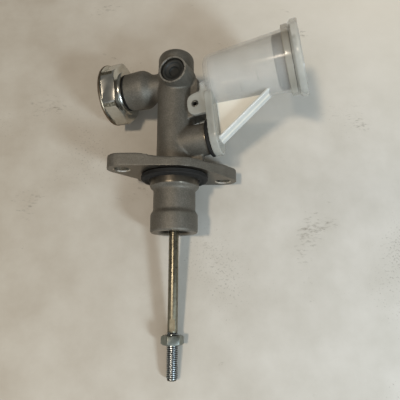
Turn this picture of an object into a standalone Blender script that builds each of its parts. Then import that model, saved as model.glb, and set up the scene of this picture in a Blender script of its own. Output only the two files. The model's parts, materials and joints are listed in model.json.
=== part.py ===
"""Hydraulic master cylinder with its own reservoir, a pulse damper and a push rod.

Units are metres. The cylinder is modelled in its own frame and then laid down on its side:
  y  runs along the bore, from the push rod towards the closed end, 0 at the mounting face
  x  points from the bore to the reservoir side
  z  points along the outlet port
The frame empty then tips everything onto the three places that touch a table: the damper's
rim, one flange ear and the tip of the push rod.
"""
import math

import bmesh
import bpy
from mathutils import Matrix, Vector

MM = 0.001
GAP = 0.3 * MM            # clearance between pieces that seat on each other
SLIDE_GAP = 0.2 * MM      # running clearance of the sliding pieces
EPS = 0.5 * MM            # how far a cutter runs past the face that it opens
BREAK = 0.5 * MM          # small broken edges
FINE = 32                 # facets round a large turned piece
COARSE = 20               # facets round a small turned piece

# Bore and barrel
BORE_R = 9.525 * MM
BORE_END_Y = 88 * MM
BARREL_R = 14 * MM
CLOSED_END_Y = 100 * MM
END_ROUND = 6.5 * MM
LEAN = math.radians(6)    # reservoir side's lean towards the closed end

# Mounting flange: the hub is dished at the back, the ears keep their full thickness
EAR_T = 9.3 * MM
HUB_T = 5.8 * MM
DISH_R = 25 * MM
DISH_EDGE_R = 36 * MM
HUB_R = 28 * MM
EAR_REACH = 40.5 * MM     # from the bore axis to each bolt hole
EAR_R = 10.5 * MM
EAR_HOLE_R = 5.5 * MM
EAR_ANGLE = math.radians(-42)
PAD_SIDE = 19 * MM        # index pad that fits a notch in the panel
PAD_REACH = 29 * MM
PAD_DROP = 16.5 * MM
PAD_ANGLE = math.radians(18)
PAD_ROUND = 2 * MM
SEAL_R = 25 * MM
SEAL_T = 4 * MM

# Snout, on the push rod side of the flange
PILOT_R = 18.1 * MM
PILOT_LEN = 9.3 * MM
NECK_R = 15.6 * MM
NECK_END_Y = -27.6 * MM
COLLAR_R = 17.4 * MM
COLLAR_START_Y = -29.8 * MM
SNOUT_END_Y = -43.2 * MM
SNOUT_CHAMFER = 1 * MM
MOUTH_R = 11 * MM
MOUTH_DEPTH = 9 * MM
GROOVE_DEPTH = 0.9 * MM   # snap ring groove
RING_T = 1.8 * MM
RING_BAND = 2.1 * MM
RING_OPENING = 4 * MM
STOP_T = 1.6 * MM
STOP_HOLE_R = 5.4 * MM
STOP_Y = SNOUT_END_Y + MOUTH_DEPTH
RING_Y = STOP_Y - GAP - STOP_T - GAP - RING_T / 2

# Inlet boss, grommet and reservoir seat
INLET_Y = 23.7 * MM
INLET_R = 11.8 * MM
INLET_END = 28.4 * MM
INLET_HOLE_R = 8 * MM
INLET_FLOOR = 15 * MM
INLET_WEB_T = 5 * MM
GROMMET_FLANGE_R = 14.2 * MM
GROMMET_FLANGE_T = 1.3 * MM
SPIGOT_R = 5.6 * MM
SPIGOT_WALL = 1.6 * MM
GROMMET_LEAD = 2 * MM      # height of the chamfer at the bush's inner end
GROMMET_STEP = 1 * MM
INTAKE_R = 1.6 * MM

# Outlet port
PORT_X = 4.8 * MM
PORT_Y = 76.1 * MM
PORT_TOP = 20.5 * MM
PORT_TOP_R = 10.5 * MM
PORT_BASE_R = 12 * MM
PORT_ROOT_Z = -9 * MM
SPOTFACE_R = 9.2 * MM
SPOTFACE_DEPTH = 6 * MM
PORT_THREAD_R = 5.4 * MM
PORT_FLOOR_Z = 11 * MM
OUTLET_R = 1.5 * MM
SEAT_R = 3.4 * MM
SEAT_HOLE_R = 1.2 * MM
SEAT_T = 2.2 * MM
PLUG_INSET = 1.2 * MM     # the plug's face sits below the port's rim
PLUG_RECESS_R = 3.8 * MM
PLUG_RECESS_FLOOR = 0.8 * MM
PLUG_TIP_GAP = 0.8 * MM

# Pulse damper
DAMPER_Y = 74.4 * MM
DAMPER_LEAN = math.radians(1.5)
DAMPER_BOSS_R = 15 * MM
DAMPER_NECK_R = 10.5 * MM
DAMPER_BOSS_END = 39.5 * MM
BOSS_BELLY = 9.5 * MM     # these four run back from the boss's seat face
BOSS_SHOULDER = 13 * MM
BOSS_WAIST = 18 * MM
BOSS_NECK = 22 * MM
DAMPER_THREAD_R = 10 * MM
DAMPER_HOLE_FLOOR = 24 * MM
DRILL_POINT = 2 * MM
GASKET_T = 0.7 * MM
DAMPER_COLLAR_R = 17.3 * MM
DAMPER_COLLAR_T = 1.8 * MM
DAMPER_FLATS = 44 * MM    # hexagon head, across its flats
DAMPER_HEX_T = 11.4 * MM
DAMPER_TURN = math.radians(17)
DAMPER_CHAMFER = 0.8 * MM
DAMPER_R = 24.4 * MM      # round rim that holds the cover
DAMPER_RIM_T = 2.2 * MM
DAMPER_WALL = 2.6 * MM
DAMPER_WEB_T = 2 * MM
DAMPER_DUCT_R = 3 * MM
DAMPER_COVER_T = 2.4 * MM
COVER_SHEET_T = 1.2 * MM
DIAPHRAGM_T = 1.5 * MM
DIAPHRAGM_LEDGE = 3 * MM
DAMPER_SEAT_S = DAMPER_BOSS_END + GAP
DAMPER_COLLAR_S = DAMPER_SEAT_S + GASKET_T + GAP
DAMPER_HEX_S = DAMPER_COLLAR_S + DAMPER_COLLAR_T
DAMPER_RIM_S = DAMPER_HEX_S + DAMPER_HEX_T
DAMPER_END_S = DAMPER_RIM_S + DAMPER_RIM_T

# Piston and its seals
PISTON_REAR_Y = STOP_Y
PISTON_FRONT_Y = 15 * MM
PISTON_R = BORE_R - SLIDE_GAP
PISTON_HEAD_T = 6 * MM
REAR_LAND_T = 12 * MM
MID_LAND_T = 3 * MM
WAIST_R = 6.6 * MM
CUP_SEAT_R = 4 * MM
CUP_SEAT_LEN = 8 * MM
CUP_HEEL_T = 2.6 * MM
CUP_LIP = 1.2 * MM
CUP_TAPER = 0.6 * MM
PRIMARY_CUP_T = 6 * MM
SECONDARY_CUP_T = 5 * MM
SHIM_T = 0.5 * MM
SEAT_SHEET_T = 1.2 * MM
STROKE = 32 * MM

# Return spring
SPRING_WIRE_R = 0.8 * MM
SPRING_COIL_R = 7.3 * MM
SPRING_TURNS = 8
SPRING_POINTS = 10        # points in a turn
SPRING_CLOSE = 0.07       # how strongly the end turns close up

# Push rod and lock nut
BALL_Y = -24 * MM
BALL_R = 6.2 * MM
SHOULDER_R = 5.8 * MM
SHOULDER_T = 3.7 * MM
ROD_R = 3.55 * MM
THREAD_R = 4 * MM
THREAD_START_Y = -112.5 * MM
ROD_TIP_Y = -144 * MM
TIP_CHAMFER = 1.2 * MM
WRENCH_FLATS = 6 * MM
WRENCH_LEN = 8 * MM
NUT_Y = -117.6 * MM
NUT_T = 6.5 * MM
NUT_FLATS = 14 * MM
NUT_CHAMFER = 1.1 * MM
NUT_TURN = math.radians(40)

# Reservoir, measured along s from the bore axis and across q from the inlet's axis
TANK_Q = 46.5 * MM
TANK_BASE_S = 33.3 * MM
TANK_BASE_R = 19.2 * MM
TANK_MOUTH_S = 91.5 * MM
TANK_MOUTH_R = 22.6 * MM
TANK_WALL = 1.8 * MM
TANK_ROUND = 5 * MM
LIP_R = 25.4 * MM
LIP_T = 5 * MM
LEG_S = INLET_END + GAP + GROMMET_FLANGE_T + GAP
LEG_T = 6 * MM
FOOT_R = 14.4 * MM
CAP_R = 27.5 * MM
CAP_T = 5.4 * MM
CAP_TOP_T = 2.6 * MM
CAP_DISH = 1 * MM
CAP_EDGE = 1.2 * MM
SKIRT_LEN = 7 * MM
SKIRT_T = 1.6 * MM
BELLOWS_DEPTH = 18 * MM
BELLOWS_RISE = 4 * MM
BELLOWS_WALL = 1.4 * MM
BELLOWS_RIM_T = 1 * MM
BELLOWS_RIM_INSET = 1.5 * MM

# Pinned joint between the reservoir's ears and the barrel's lug, and the gusset
PIN_X = 19.5 * MM
PIN_Y = 50.7 * MM
PIN_R = 2.5 * MM
PIN_WALL = 0.7 * MM
PIN_INSET = 0.6 * MM
PIN_SLOT = 1.2 * MM
LUG_T = 13.8 * MM
LUG_WIDTH = 14 * MM
LUG_ROOT = 3 * MM         # the lug widens this much to each side where it meets the barrel
FIN_T = 8 * MM            # fin between the lug and the outlet port
FIN_X = 19.2 * MM
FIN_TOP_Y = 79 * MM
EAR_PLATE_T = 4 * MM
TONGUE_WIDTH = 17 * MM
TONGUE_TIP = 6.2 * MM
TONGUE_ROUND = 6 * MM
TONGUE_FLARE = 4 * MM     # the ear's far side spreads this much where it meets the tank
WEB_T = 1.8 * MM
RIB_T = 1.8 * MM
RIB_HALF = 7 * MM
RIB_FOOT = 2.5 * MM       # how far the rib runs past the web at each end
RIB_HEAD = 4 * MM
CHANNEL_OVERLAP = 2 * MM
RIB_LOW = Vector((37.5 * MM, -1.5 * MM))
RIB_HIGH = Vector((73.5 * MM, 24.5 * MM))

FINISHES = {
    "cast_aluminium": ((0.30, 0.27, 0.23), 0.55, 0.85),
    "zinc_plate": ((0.62, 0.61, 0.58), 0.22, 1.0),
    "steel": ((0.45, 0.44, 0.42), 0.35, 1.0),
    "black_rubber": ((0.02, 0.02, 0.02), 0.7, 0.0),
    "grey_rubber": ((0.30, 0.32, 0.34), 0.7, 0.0),
    "black_plastic": ((0.03, 0.03, 0.03), 0.5, 0.0),
    "white_plastic": ((0.78, 0.78, 0.76), 0.45, 0.0),
    "brass": ((0.70, 0.52, 0.25), 0.35, 1.0),
    "anodised": ((0.50, 0.50, 0.48), 0.4, 0.9),
}


# ---------------------------------------------------------------- scene and helpers

for old in list(bpy.data.objects):
    bpy.data.objects.remove(old, do_unlink=True)

parts = bpy.data.collections.new("master_cylinder")
cutters = bpy.data.collections.new("cutters")
for group in (parts, cutters):
    bpy.context.scene.collection.children.link(group)

frame = bpy.data.objects.new("cylinder_frame", None)
parts.objects.link(frame)


def material(name, finish):
    """Each sub-part gets its own material."""
    colour, roughness, metallic = FINISHES[finish]
    mat = bpy.data.materials.new(name)
    mat.use_nodes = True
    shader = mat.node_tree.nodes["Principled BSDF"]
    shader.inputs["Base Color"].default_value = (*colour, 1)
    shader.inputs["Roughness"].default_value = roughness
    shader.inputs["Metallic"].default_value = metallic
    return mat


def add_object(name, mesh, place, finish=None):
    """Link a mesh under the frame; without a finish it is a tool for Booleans."""
    obj = bpy.data.objects.new(name, mesh)
    obj.parent = frame
    obj.matrix_local = place
    if finish:
        parts.objects.link(obj)
        mesh.materials.append(material(name, finish))
    else:
        cutters.objects.link(obj)
        obj.hide_render = True
        obj.display_type = "WIRE"
    return obj


def axes_at(origin, direction, side=Vector((0, 0, 1))):
    """A matrix whose Z runs along direction and whose X leans towards side."""
    z = Vector(direction).normalized()
    y = z.cross(side).normalized()
    x = y.cross(z)
    turn = Matrix((x, y, z)).transposed().to_4x4()
    return Matrix.Translation(origin) @ turn


def turned(name, profile, place, finish=None, facets=FINE, closed=False):
    """Revolve (radius, height) points, listed from the top down the outer side."""
    mesh = bpy.data.meshes.new(name)
    points = [(radius, 0, height) for radius, height in profile]
    edges = [(i, i + 1) for i in range(len(points) - 1)]
    if closed:
        edges.append((len(points) - 1, 0))
    mesh.from_pydata(points, edges, [])
    obj = add_object(name, mesh, place, finish)
    screw = obj.modifiers.new("revolve", "SCREW")
    screw.steps = facets
    screw.render_steps = facets
    screw.use_merge_vertices = True
    screw.merge_threshold = 0.00001
    return obj


def slab(name, outline, thickness, place, finish=None):
    """Extrude a closed 2-D outline to both sides of its plane."""
    curve = bpy.data.curves.new(name, "CURVE")
    curve.dimensions = "2D"
    curve.fill_mode = "BOTH"
    curve.extrude = thickness / 2
    spline = curve.splines.new("POLY")
    spline.points.add(len(outline) - 1)
    for point, (x, y) in zip(spline.points, outline):
        point.co = (x, y, 0, 1)
    spline.use_cyclic_u = True
    return solid_from_curve(name, curve, place, finish)


def solid_from_curve(name, curve, place, finish=None):
    """Turn a curve into one closed mesh with its caps welded."""
    holder = bpy.data.objects.new(name + "_curve", curve)
    bpy.context.scene.collection.objects.link(holder)
    graph = bpy.context.evaluated_depsgraph_get()
    mesh = bpy.data.meshes.new_from_object(holder.evaluated_get(graph))
    bpy.data.objects.remove(holder, do_unlink=True)
    mesh.name = name
    mesh.materials.clear()
    shell = bmesh.new()
    shell.from_mesh(mesh)
    bmesh.ops.remove_doubles(shell, verts=shell.verts, dist=0.000001)
    bmesh.ops.recalc_face_normals(shell, faces=shell.faces)
    shell.to_mesh(mesh)
    shell.free()
    return add_object(name, mesh, place, finish)


def block(name, size, place, finish=None):
    mesh = bpy.data.meshes.new(name)
    shell = bmesh.new()
    bmesh.ops.create_cube(shell, size=1, matrix=Matrix.Diagonal((*size, 1)))
    shell.to_mesh(mesh)
    shell.free()
    return add_object(name, mesh, place, finish)


def boolean(target, tool, operation):
    modifier = target.modifiers.new(tool.name, "BOOLEAN")
    modifier.operation = operation
    modifier.object = tool
    modifier.solver = "EXACT"


def join(target, *tools):
    for tool in tools:
        boolean(target, tool, "UNION")


def cut(target, *tools):
    for tool in tools:
        boolean(target, tool, "DIFFERENCE")


def arc(centre, radius, start, end, count):
    """Points on an arc, angles in radians, both ends included."""
    points = []
    for i in range(count):
        angle = start + (end - start) * i / (count - 1)
        points.append((centre[0] + radius * math.cos(angle), centre[1] + radius * math.sin(angle)))
    return points


def rod_profile(radius, top, bottom):
    return [(0, top), (radius, top), (radius, bottom), (0, bottom)]


def ring_profile(outer, inner, top, bottom):
    return [(outer, top), (outer, bottom), (inner, bottom), (inner, top)]


def rounded_box(width, height, radius, count=5):
    """A rectangle outline with round corners, centred on 0, 0."""
    points = []
    for quarter, (sx, sy) in enumerate(((1, 1), (-1, 1), (-1, -1), (1, -1))):
        centre = (sx * (width / 2 - radius), sy * (height / 2 - radius))
        start = quarter * math.pi / 2
        points += arc(centre, radius, start, start + math.pi / 2, count)
    return points


# The frames that the pieces are placed in
BORE = axes_at((0, 0, 0), (0, 1, 0))
SIDE_AXIS = Vector((math.cos(LEAN), math.sin(LEAN), 0))
ACROSS_AXIS = Vector((-math.sin(LEAN), math.cos(LEAN), 0))
PIN = Matrix.Translation((PIN_X, PIN_Y, 0))
INLET = axes_at((0, INLET_Y, 0), SIDE_AXIS)
# its drillings are turned half a facet, so that no edge of theirs runs along one of the boss
INLET_DRILL = INLET @ Matrix.Rotation(math.pi / COARSE, 4, "Z")
TANK = axes_at(Vector((0, INLET_Y, 0)) + ACROSS_AXIS * TANK_Q, SIDE_AXIS)
PORT = axes_at((PORT_X, PORT_Y, 0), (0, 0, 1), Vector((1, 0, 0)))
DAMPER_AXIS = Vector((-math.cos(DAMPER_LEAN), -math.sin(DAMPER_LEAN), 0))
DAMPER = axes_at((0, DAMPER_Y, 0), DAMPER_AXIS)
DAMPER_HEAD = DAMPER @ Matrix.Rotation(DAMPER_TURN, 4, "Z")


def side_plane(height=0):
    """Flat outlines on the reservoir side: x along s, y along q, z up."""
    plane = Matrix((SIDE_AXIS, ACROSS_AXIS, Vector((0, 0, 1)))).transposed().to_4x4()
    return Matrix.Translation((0, INLET_Y, height)) @ plane


def flange_plane(y):
    """Flat outlines across the bore: x stays x and y becomes z."""
    return Matrix.Translation((0, y, 0)) @ Matrix.Rotation(math.pi / 2, 4, "X")


# ---------------------------------------------------------------- body casting

def flange_outline():
    """Two ears joined to a round hub by straight tangents."""
    tilt = math.acos((HUB_R - EAR_R) / EAR_REACH)
    points = []
    for turn in (0, math.pi):
        axis = EAR_ANGLE + turn
        ear = (EAR_REACH * math.cos(axis), EAR_REACH * math.sin(axis))
        points += arc(ear, EAR_R, axis - tilt, axis + tilt, 11)
        points += arc((0, 0), HUB_R, axis + tilt, axis + math.pi - tilt, 11)
    return points


def barrel_profile():
    corner = arc((BARREL_R - END_ROUND, CLOSED_END_Y - END_ROUND), END_ROUND, math.pi / 2, 0, 6)
    snout = [
        (BARREL_R, HUB_T / 2),
        (PILOT_R, HUB_T / 2),
        (PILOT_R, -PILOT_LEN),
        (NECK_R, -PILOT_LEN - (PILOT_R - NECK_R)),
        (NECK_R, NECK_END_Y),
        (COLLAR_R, COLLAR_START_Y),
        (COLLAR_R, SNOUT_END_Y + SNOUT_CHAMFER),
        (COLLAR_R - SNOUT_CHAMFER, SNOUT_END_Y),
        (0, SNOUT_END_Y),
    ]
    return [(0, CLOSED_END_Y)] + corner + snout


def damper_boss_profile():
    """A mushroom: a slim neck that swells to the belly and ends in the seat face."""
    face = DAMPER_BOSS_END
    step = DAMPER_BOSS_R - DAMPER_NECK_R
    return [
        (0, face),
        (DAMPER_BOSS_R - 2 * BREAK, face),
        (DAMPER_BOSS_R - BREAK, face - BREAK),
        (DAMPER_BOSS_R, face - BOSS_BELLY),
        (DAMPER_BOSS_R - 0.2 * step, face - BOSS_SHOULDER),
        (DAMPER_NECK_R + 0.25 * step, face - BOSS_WAIST),
        (DAMPER_NECK_R, face - BOSS_NECK),
        (DAMPER_NECK_R, BORE_R / 2),
        (0, BORE_R / 2),
    ]


def make_flange():
    """The flange plate with its index pad, dished at the back so that only the ears are thick."""
    plate = slab("flange_tool", flange_outline(), EAR_T, flange_plane(EAR_T / 2))
    turn = Matrix.Rotation(PAD_ANGLE, 4, "Y")
    centre = Vector((-PAD_REACH + PAD_SIDE / 2, EAR_T / 2, -PAD_DROP + PAD_SIDE / 2))
    place = turn @ Matrix.Translation(centre) @ Matrix.Rotation(math.pi / 2, 4, "X")
    pad = slab("pad_tool", rounded_box(PAD_SIDE, PAD_SIDE, PAD_ROUND), EAR_T, place)
    join(plate, pad)
    slope = (DISH_EDGE_R - DISH_R) / (EAR_T - HUB_T)
    dish = turned("dish_cut", [
        (0, EAR_T + EPS),
        (DISH_EDGE_R + EPS * slope, EAR_T + EPS),
        (DISH_R, HUB_T),
        (0, HUB_T),
    ], BORE)
    cut(plate, dish)
    return plate


def make_bosses():
    """The bosses, lug and ribs that stand on the barrel."""
    inlet = turned("inlet_tool", [
        (0, INLET_END),
        (INLET_R - BREAK, INLET_END),
        (INLET_R, INLET_END - BREAK),
        (INLET_R + BREAK, BORE_R / 2),
        (0, BORE_R / 2),
    ], INLET)
    port = turned("port_tool", [
        (0, PORT_TOP),
        (PORT_TOP_R, PORT_TOP),
        (PORT_BASE_R, 0),
        (PORT_BASE_R * 0.6, PORT_ROOT_Z),
        (0, PORT_ROOT_Z),
    ], PORT)
    damper = turned("damper_tool", damper_boss_profile(), DAMPER)
    lug = slab("lug_tool", lug_outline(), LUG_T, Matrix.Identity(4))
    fin = slab("fin_tool", [
        (BORE_R, PIN_Y),
        (FIN_X, PIN_Y),
        (FIN_X, FIN_TOP_Y - (FIN_X - BORE_R) / 2),
        (BORE_R, FIN_TOP_Y),
    ], FIN_T, Matrix.Identity(4))
    web_reach = HUB_R - 4 * MM
    web = slab("web_tool", [
        (BORE_R, HUB_T / 2),
        (web_reach, HUB_T / 2),
        (web_reach, HUB_T + MM),
        (INLET_END * 0.72, INLET_Y),
        (BORE_R, INLET_Y + INLET_R / 2),
    ], INLET_WEB_T, Matrix.Identity(4))
    return inlet, port, damper, lug, fin, web


def make_body_cutters():
    """The bore, the ports and the pin's hole."""
    half = GAP + RING_T / 2
    bore = turned("bore_cut", [
        (0, BORE_END_Y),
        (BORE_R, BORE_END_Y),
        (BORE_R, STOP_Y),
        (MOUTH_R, STOP_Y),
        (MOUTH_R, RING_Y + half),
        (MOUTH_R + GROOVE_DEPTH, RING_Y + half),
        (MOUTH_R + GROOVE_DEPTH, RING_Y - half),
        (MOUTH_R, RING_Y - half),
        (MOUTH_R, SNOUT_END_Y - EPS),
        (0, SNOUT_END_Y - EPS),
    ], BORE)
    inlet_hole = turned("inlet_cut", rod_profile(INLET_HOLE_R, INLET_END + EPS, INLET_FLOOR), INLET)
    intake = turned(
        "intake_cut", rod_profile(INTAKE_R, INLET_FLOOR + EPS, BORE_R / 2), INLET_DRILL, facets=12)
    port_hole = turned("port_cut", [
        (0, PORT_TOP + EPS),
        (SPOTFACE_R, PORT_TOP + EPS),
        (SPOTFACE_R, PORT_TOP - SPOTFACE_DEPTH),
        (PORT_THREAD_R, PORT_TOP - SPOTFACE_DEPTH),
        (PORT_THREAD_R, PORT_FLOOR_Z),
        (OUTLET_R, PORT_FLOOR_Z),
        (OUTLET_R, BORE_R / 2),
        (0, BORE_R / 2),
    ], PORT, facets=COARSE)
    damper_hole = turned("damper_cut", [
        (0, DAMPER_BOSS_END + EPS),
        (DAMPER_THREAD_R, DAMPER_BOSS_END + EPS),
        (DAMPER_THREAD_R, DAMPER_HOLE_FLOOR),
        (OUTLET_R, DAMPER_HOLE_FLOOR - DRILL_POINT),
        (OUTLET_R, BORE_R / 2),
        (0, BORE_R / 2),
    ], DAMPER, facets=COARSE)
    pin_hole = turned("pin_cut", rod_profile(PIN_R + GAP, LUG_T, -LUG_T), PIN, facets=COARSE)
    return bore, inlet_hole, intake, port_hole, damper_hole, pin_hole


def make_body():
    body = turned("body_casting", barrel_profile(), BORE, "cast_aluminium")
    join(body, make_flange(), *make_bosses())
    cut(body, *make_body_cutters())
    for number in (1, 2):
        angle = EAR_ANGLE + number * math.pi
        centre = (EAR_REACH * math.cos(angle), 0, EAR_REACH * math.sin(angle))
        hole = rod_profile(EAR_HOLE_R, EAR_T + EPS, -EPS)
        cut(body, turned("ear_cut_%d" % number, hole, axes_at(centre, (0, 1, 0)), facets=COARSE))


def lug_outline():
    """The tongue on the barrel that the reservoir's pin goes through."""
    half = LUG_WIDTH / 2
    end = arc((PIN_X, PIN_Y), half, -math.pi / 2, math.pi / 2, 9)
    return [(BORE_R + MM, PIN_Y - half - LUG_ROOT)] + end + [(BORE_R + MM, PIN_Y + half + LUG_ROOT)]


# ---------------------------------------------------------------- seals and fittings

def make_flange_seal():
    """A thick rubber ring with a rounded outer edge, on the pilot."""
    soft = SEAL_T * 0.4
    rim = SEAL_R - soft
    profile = arc((rim, -GAP - soft), soft, math.pi / 2, 0, 4)
    profile += arc((rim, -GAP - SEAL_T + soft), soft, 0, -math.pi / 2, 4)
    profile += [(PILOT_R + GAP, -GAP - SEAL_T), (PILOT_R + GAP, -GAP)]
    turned("flange_seal", profile, BORE, "black_rubber", closed=True)


def make_grommet():
    """A rubber bush in the inlet boss, with a flange under the reservoir's foot."""
    seat = INLET_END + GAP
    top = seat + GROMMET_FLANGE_T
    outer = INLET_HOLE_R - GAP
    foot = INLET_FLOOR + GAP
    turned("reservoir_grommet", [
        (GROMMET_FLANGE_R - BREAK, top),
        (GROMMET_FLANGE_R, (seat + top) / 2),
        (GROMMET_FLANGE_R - BREAK, seat),
        (outer, seat),
        (outer, foot + GROMMET_LEAD),
        (outer - GROMMET_STEP, foot),
        (SPIGOT_R + GAP, foot),
        (SPIGOT_R + GAP, top),
    ], INLET, "black_rubber", FINE, closed=True)


def make_port_pieces():
    """The flare seat at the bottom of the outlet and the plug that keeps dirt out."""
    floor = PORT_FLOOR_Z + GAP
    turned("outlet_seat", [
        (SEAT_HOLE_R + BREAK, floor + SEAT_T),
        (SEAT_R, floor + SEAT_T * 0.4),
        (SEAT_R, floor),
        (SEAT_HOLE_R, floor),
        (SEAT_HOLE_R, floor + SEAT_T),
    ], PORT, "brass", COARSE, closed=True)
    base = PORT_TOP - SPOTFACE_DEPTH + GAP
    top = PORT_TOP - PLUG_INSET
    tip = floor + SEAT_T + PLUG_TIP_GAP
    head_r = SPOTFACE_R - GAP
    stem_r = PORT_THREAD_R - GAP
    recess = base + PLUG_RECESS_FLOOR
    turned("port_plug", [
        (0, recess),
        (PLUG_RECESS_R, recess),
        (PLUG_RECESS_R, top - BREAK),
        (PLUG_RECESS_R + BREAK, top),
        (head_r - BREAK, top),
        (head_r, top - BREAK),
        (head_r, base),
        (stem_r, base),
        (stem_r, tip + BREAK),
        (stem_r - BREAK, tip),
        (0, tip),
    ], PORT, "black_plastic", COARSE)


def hexagon(name, flats, start, end, chamfer, place, finish=None, facets=FINE):
    """A hexagonal head or nut from height start to height end, its corners chamfered."""
    corner_r = flats / 2 / math.cos(math.pi / 6)
    mesh = bpy.data.meshes.new(name)
    shell = bmesh.new()
    bmesh.ops.create_cone(
        shell, cap_ends=True, segments=6, radius1=corner_r, radius2=corner_r, depth=end - start,
        matrix=Matrix.Translation((0, 0, (start + end) / 2)) @ Matrix.Rotation(math.pi / 2, 4, "Z"))
    shell.to_mesh(mesh)
    shell.free()
    head = add_object(name, mesh, place, finish)
    slope = (corner_r - flats / 2 + BREAK) / chamfer
    outer = corner_r + EPS * slope
    face_r = flats / 2 - BREAK - EPS * slope
    tool = turned(name + "_chamfer_tool", [
        (0, end + EPS),
        (face_r, end + EPS),
        (outer, end - chamfer - EPS),
        (outer, start + chamfer + EPS),
        (face_r, start - EPS),
        (0, start - EPS),
    ], place, facets=facets)
    boolean(head, tool, "INTERSECT")
    return head


def hexagon_corners(flats, height, place):
    """The six corners at one height, each as a circle of no size (centre, axis, radius)."""
    corner_r = flats / 2 / math.cos(math.pi / 6)
    axis = place.to_3x3() @ Vector((0, 0, 1))
    corners = []
    for x, y in arc((0, 0), corner_r, 0, math.pi * 5 / 3, 6):
        corners.append((place @ Vector((x, y, height)), axis, 0))
    return corners


def make_damper():
    """A plated housing screwed into the boss, with a diaphragm held under a pressed cover."""
    turned("damper_gasket", ring_profile(
        DAMPER_BOSS_R - BREAK, DAMPER_THREAD_R + GAP, DAMPER_SEAT_S + GASKET_T, DAMPER_SEAT_S,
    ), DAMPER, "black_rubber", closed=True)
    end = DAMPER_END_S
    shelf = end - DAMPER_COVER_T
    well = DAMPER_FLATS / 2 - DAMPER_WALL
    stem_r = DAMPER_THREAD_R - GAP
    stem_end = DAMPER_HOLE_FLOOR + GAP
    web = DAMPER_HEX_S + DAMPER_WEB_T
    housing = turned("damper_housing", [
        (0, end),
        (DAMPER_R - BREAK, end),
        (DAMPER_R, end - BREAK),
        (DAMPER_R, DAMPER_RIM_S),
        (DAMPER_COLLAR_R, DAMPER_RIM_S),
        (DAMPER_COLLAR_R, DAMPER_COLLAR_S + BREAK),
        (DAMPER_COLLAR_R - BREAK, DAMPER_COLLAR_S),
        (stem_r, DAMPER_COLLAR_S),
        (stem_r, stem_end + MM),
        (stem_r - MM, stem_end),
        (0, stem_end),
    ], DAMPER, "zinc_plate")
    join(housing, hexagon(
        "damper_hexagon_tool", DAMPER_FLATS, DAMPER_HEX_S, DAMPER_RIM_S + BREAK, DAMPER_CHAMFER, DAMPER_HEAD))
    cut(housing, turned("damper_cavity_cut", [
        (0, end + EPS),
        (well, end + EPS),
        (well, shelf - DIAPHRAGM_T - GAP),
        (well - DIAPHRAGM_LEDGE, shelf - DIAPHRAGM_T - GAP),
        (well - DIAPHRAGM_LEDGE, web),
        (DAMPER_DUCT_R, web),
        (DAMPER_DUCT_R, stem_end - EPS),
        (0, stem_end - EPS),
    ], DAMPER))
    seal_r = well - GAP
    turned("damper_diaphragm", [
        (0, shelf - DIAPHRAGM_T * 0.3),
        (seal_r * 0.45, shelf - DIAPHRAGM_T * 0.3),
        (seal_r * 0.6, shelf - GAP),
        (seal_r, shelf - GAP),
        (seal_r, shelf - DIAPHRAGM_T),
        (seal_r * 0.62, shelf - DIAPHRAGM_T),
        (seal_r * 0.48, shelf - DIAPHRAGM_T * 1.5),
        (0, shelf - DIAPHRAGM_T * 1.5),
    ], DAMPER, "black_rubber", COARSE)
    turned("damper_cover", [
        (0, end - BREAK),
        (seal_r * 0.55, end - BREAK),
        (seal_r * 0.65, end),
        (seal_r - BREAK, end),
        (seal_r, end - BREAK),
        (seal_r, shelf),
        (seal_r * 0.7, shelf),
        (seal_r * 0.6, end - BREAK - COVER_SHEET_T),
        (0, end - BREAK - COVER_SHEET_T),
    ], DAMPER, "zinc_plate")


# ---------------------------------------------------------------- piston group

def make_piston():
    """The piston: a land for each cup, a seat for the primary cup and a socket for the rod."""
    groove_rear = PISTON_REAR_Y + REAR_LAND_T
    groove_front = groove_rear + SECONDARY_CUP_T + 2 * GAP
    mid_front = groove_front + MID_LAND_T
    head_rear = PISTON_FRONT_Y - PISTON_HEAD_T
    nose = PISTON_FRONT_Y + CUP_SEAT_LEN
    socket_r = BALL_R + GAP
    turned("piston", [
        (0, nose),
        (CUP_SEAT_R - BREAK, nose),
        (CUP_SEAT_R, nose - BREAK),
        (CUP_SEAT_R, PISTON_FRONT_Y),
        (PISTON_R, PISTON_FRONT_Y),
        (PISTON_R, head_rear),
        (WAIST_R, head_rear - MM),
        (WAIST_R, mid_front),
        (PISTON_R, mid_front),
        (PISTON_R, groove_front),
        (WAIST_R, groove_front),
        (WAIST_R, groove_rear),
        (PISTON_R, groove_rear),
        (PISTON_R, PISTON_REAR_Y),
        (socket_r, PISTON_REAR_Y),
    ] + arc((0, BALL_Y), socket_r, 0, math.pi / 2, 7), BORE, "anodised", COARSE)
    turned("secondary_cup", [
        (WAIST_R + GAP, groove_front - GAP),
        (PISTON_R, groove_front - GAP),
        (PISTON_R - CUP_TAPER, groove_rear + GAP),
        (WAIST_R + GAP, groove_rear + GAP),
    ], BORE, "black_rubber", COARSE, closed=True)


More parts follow.
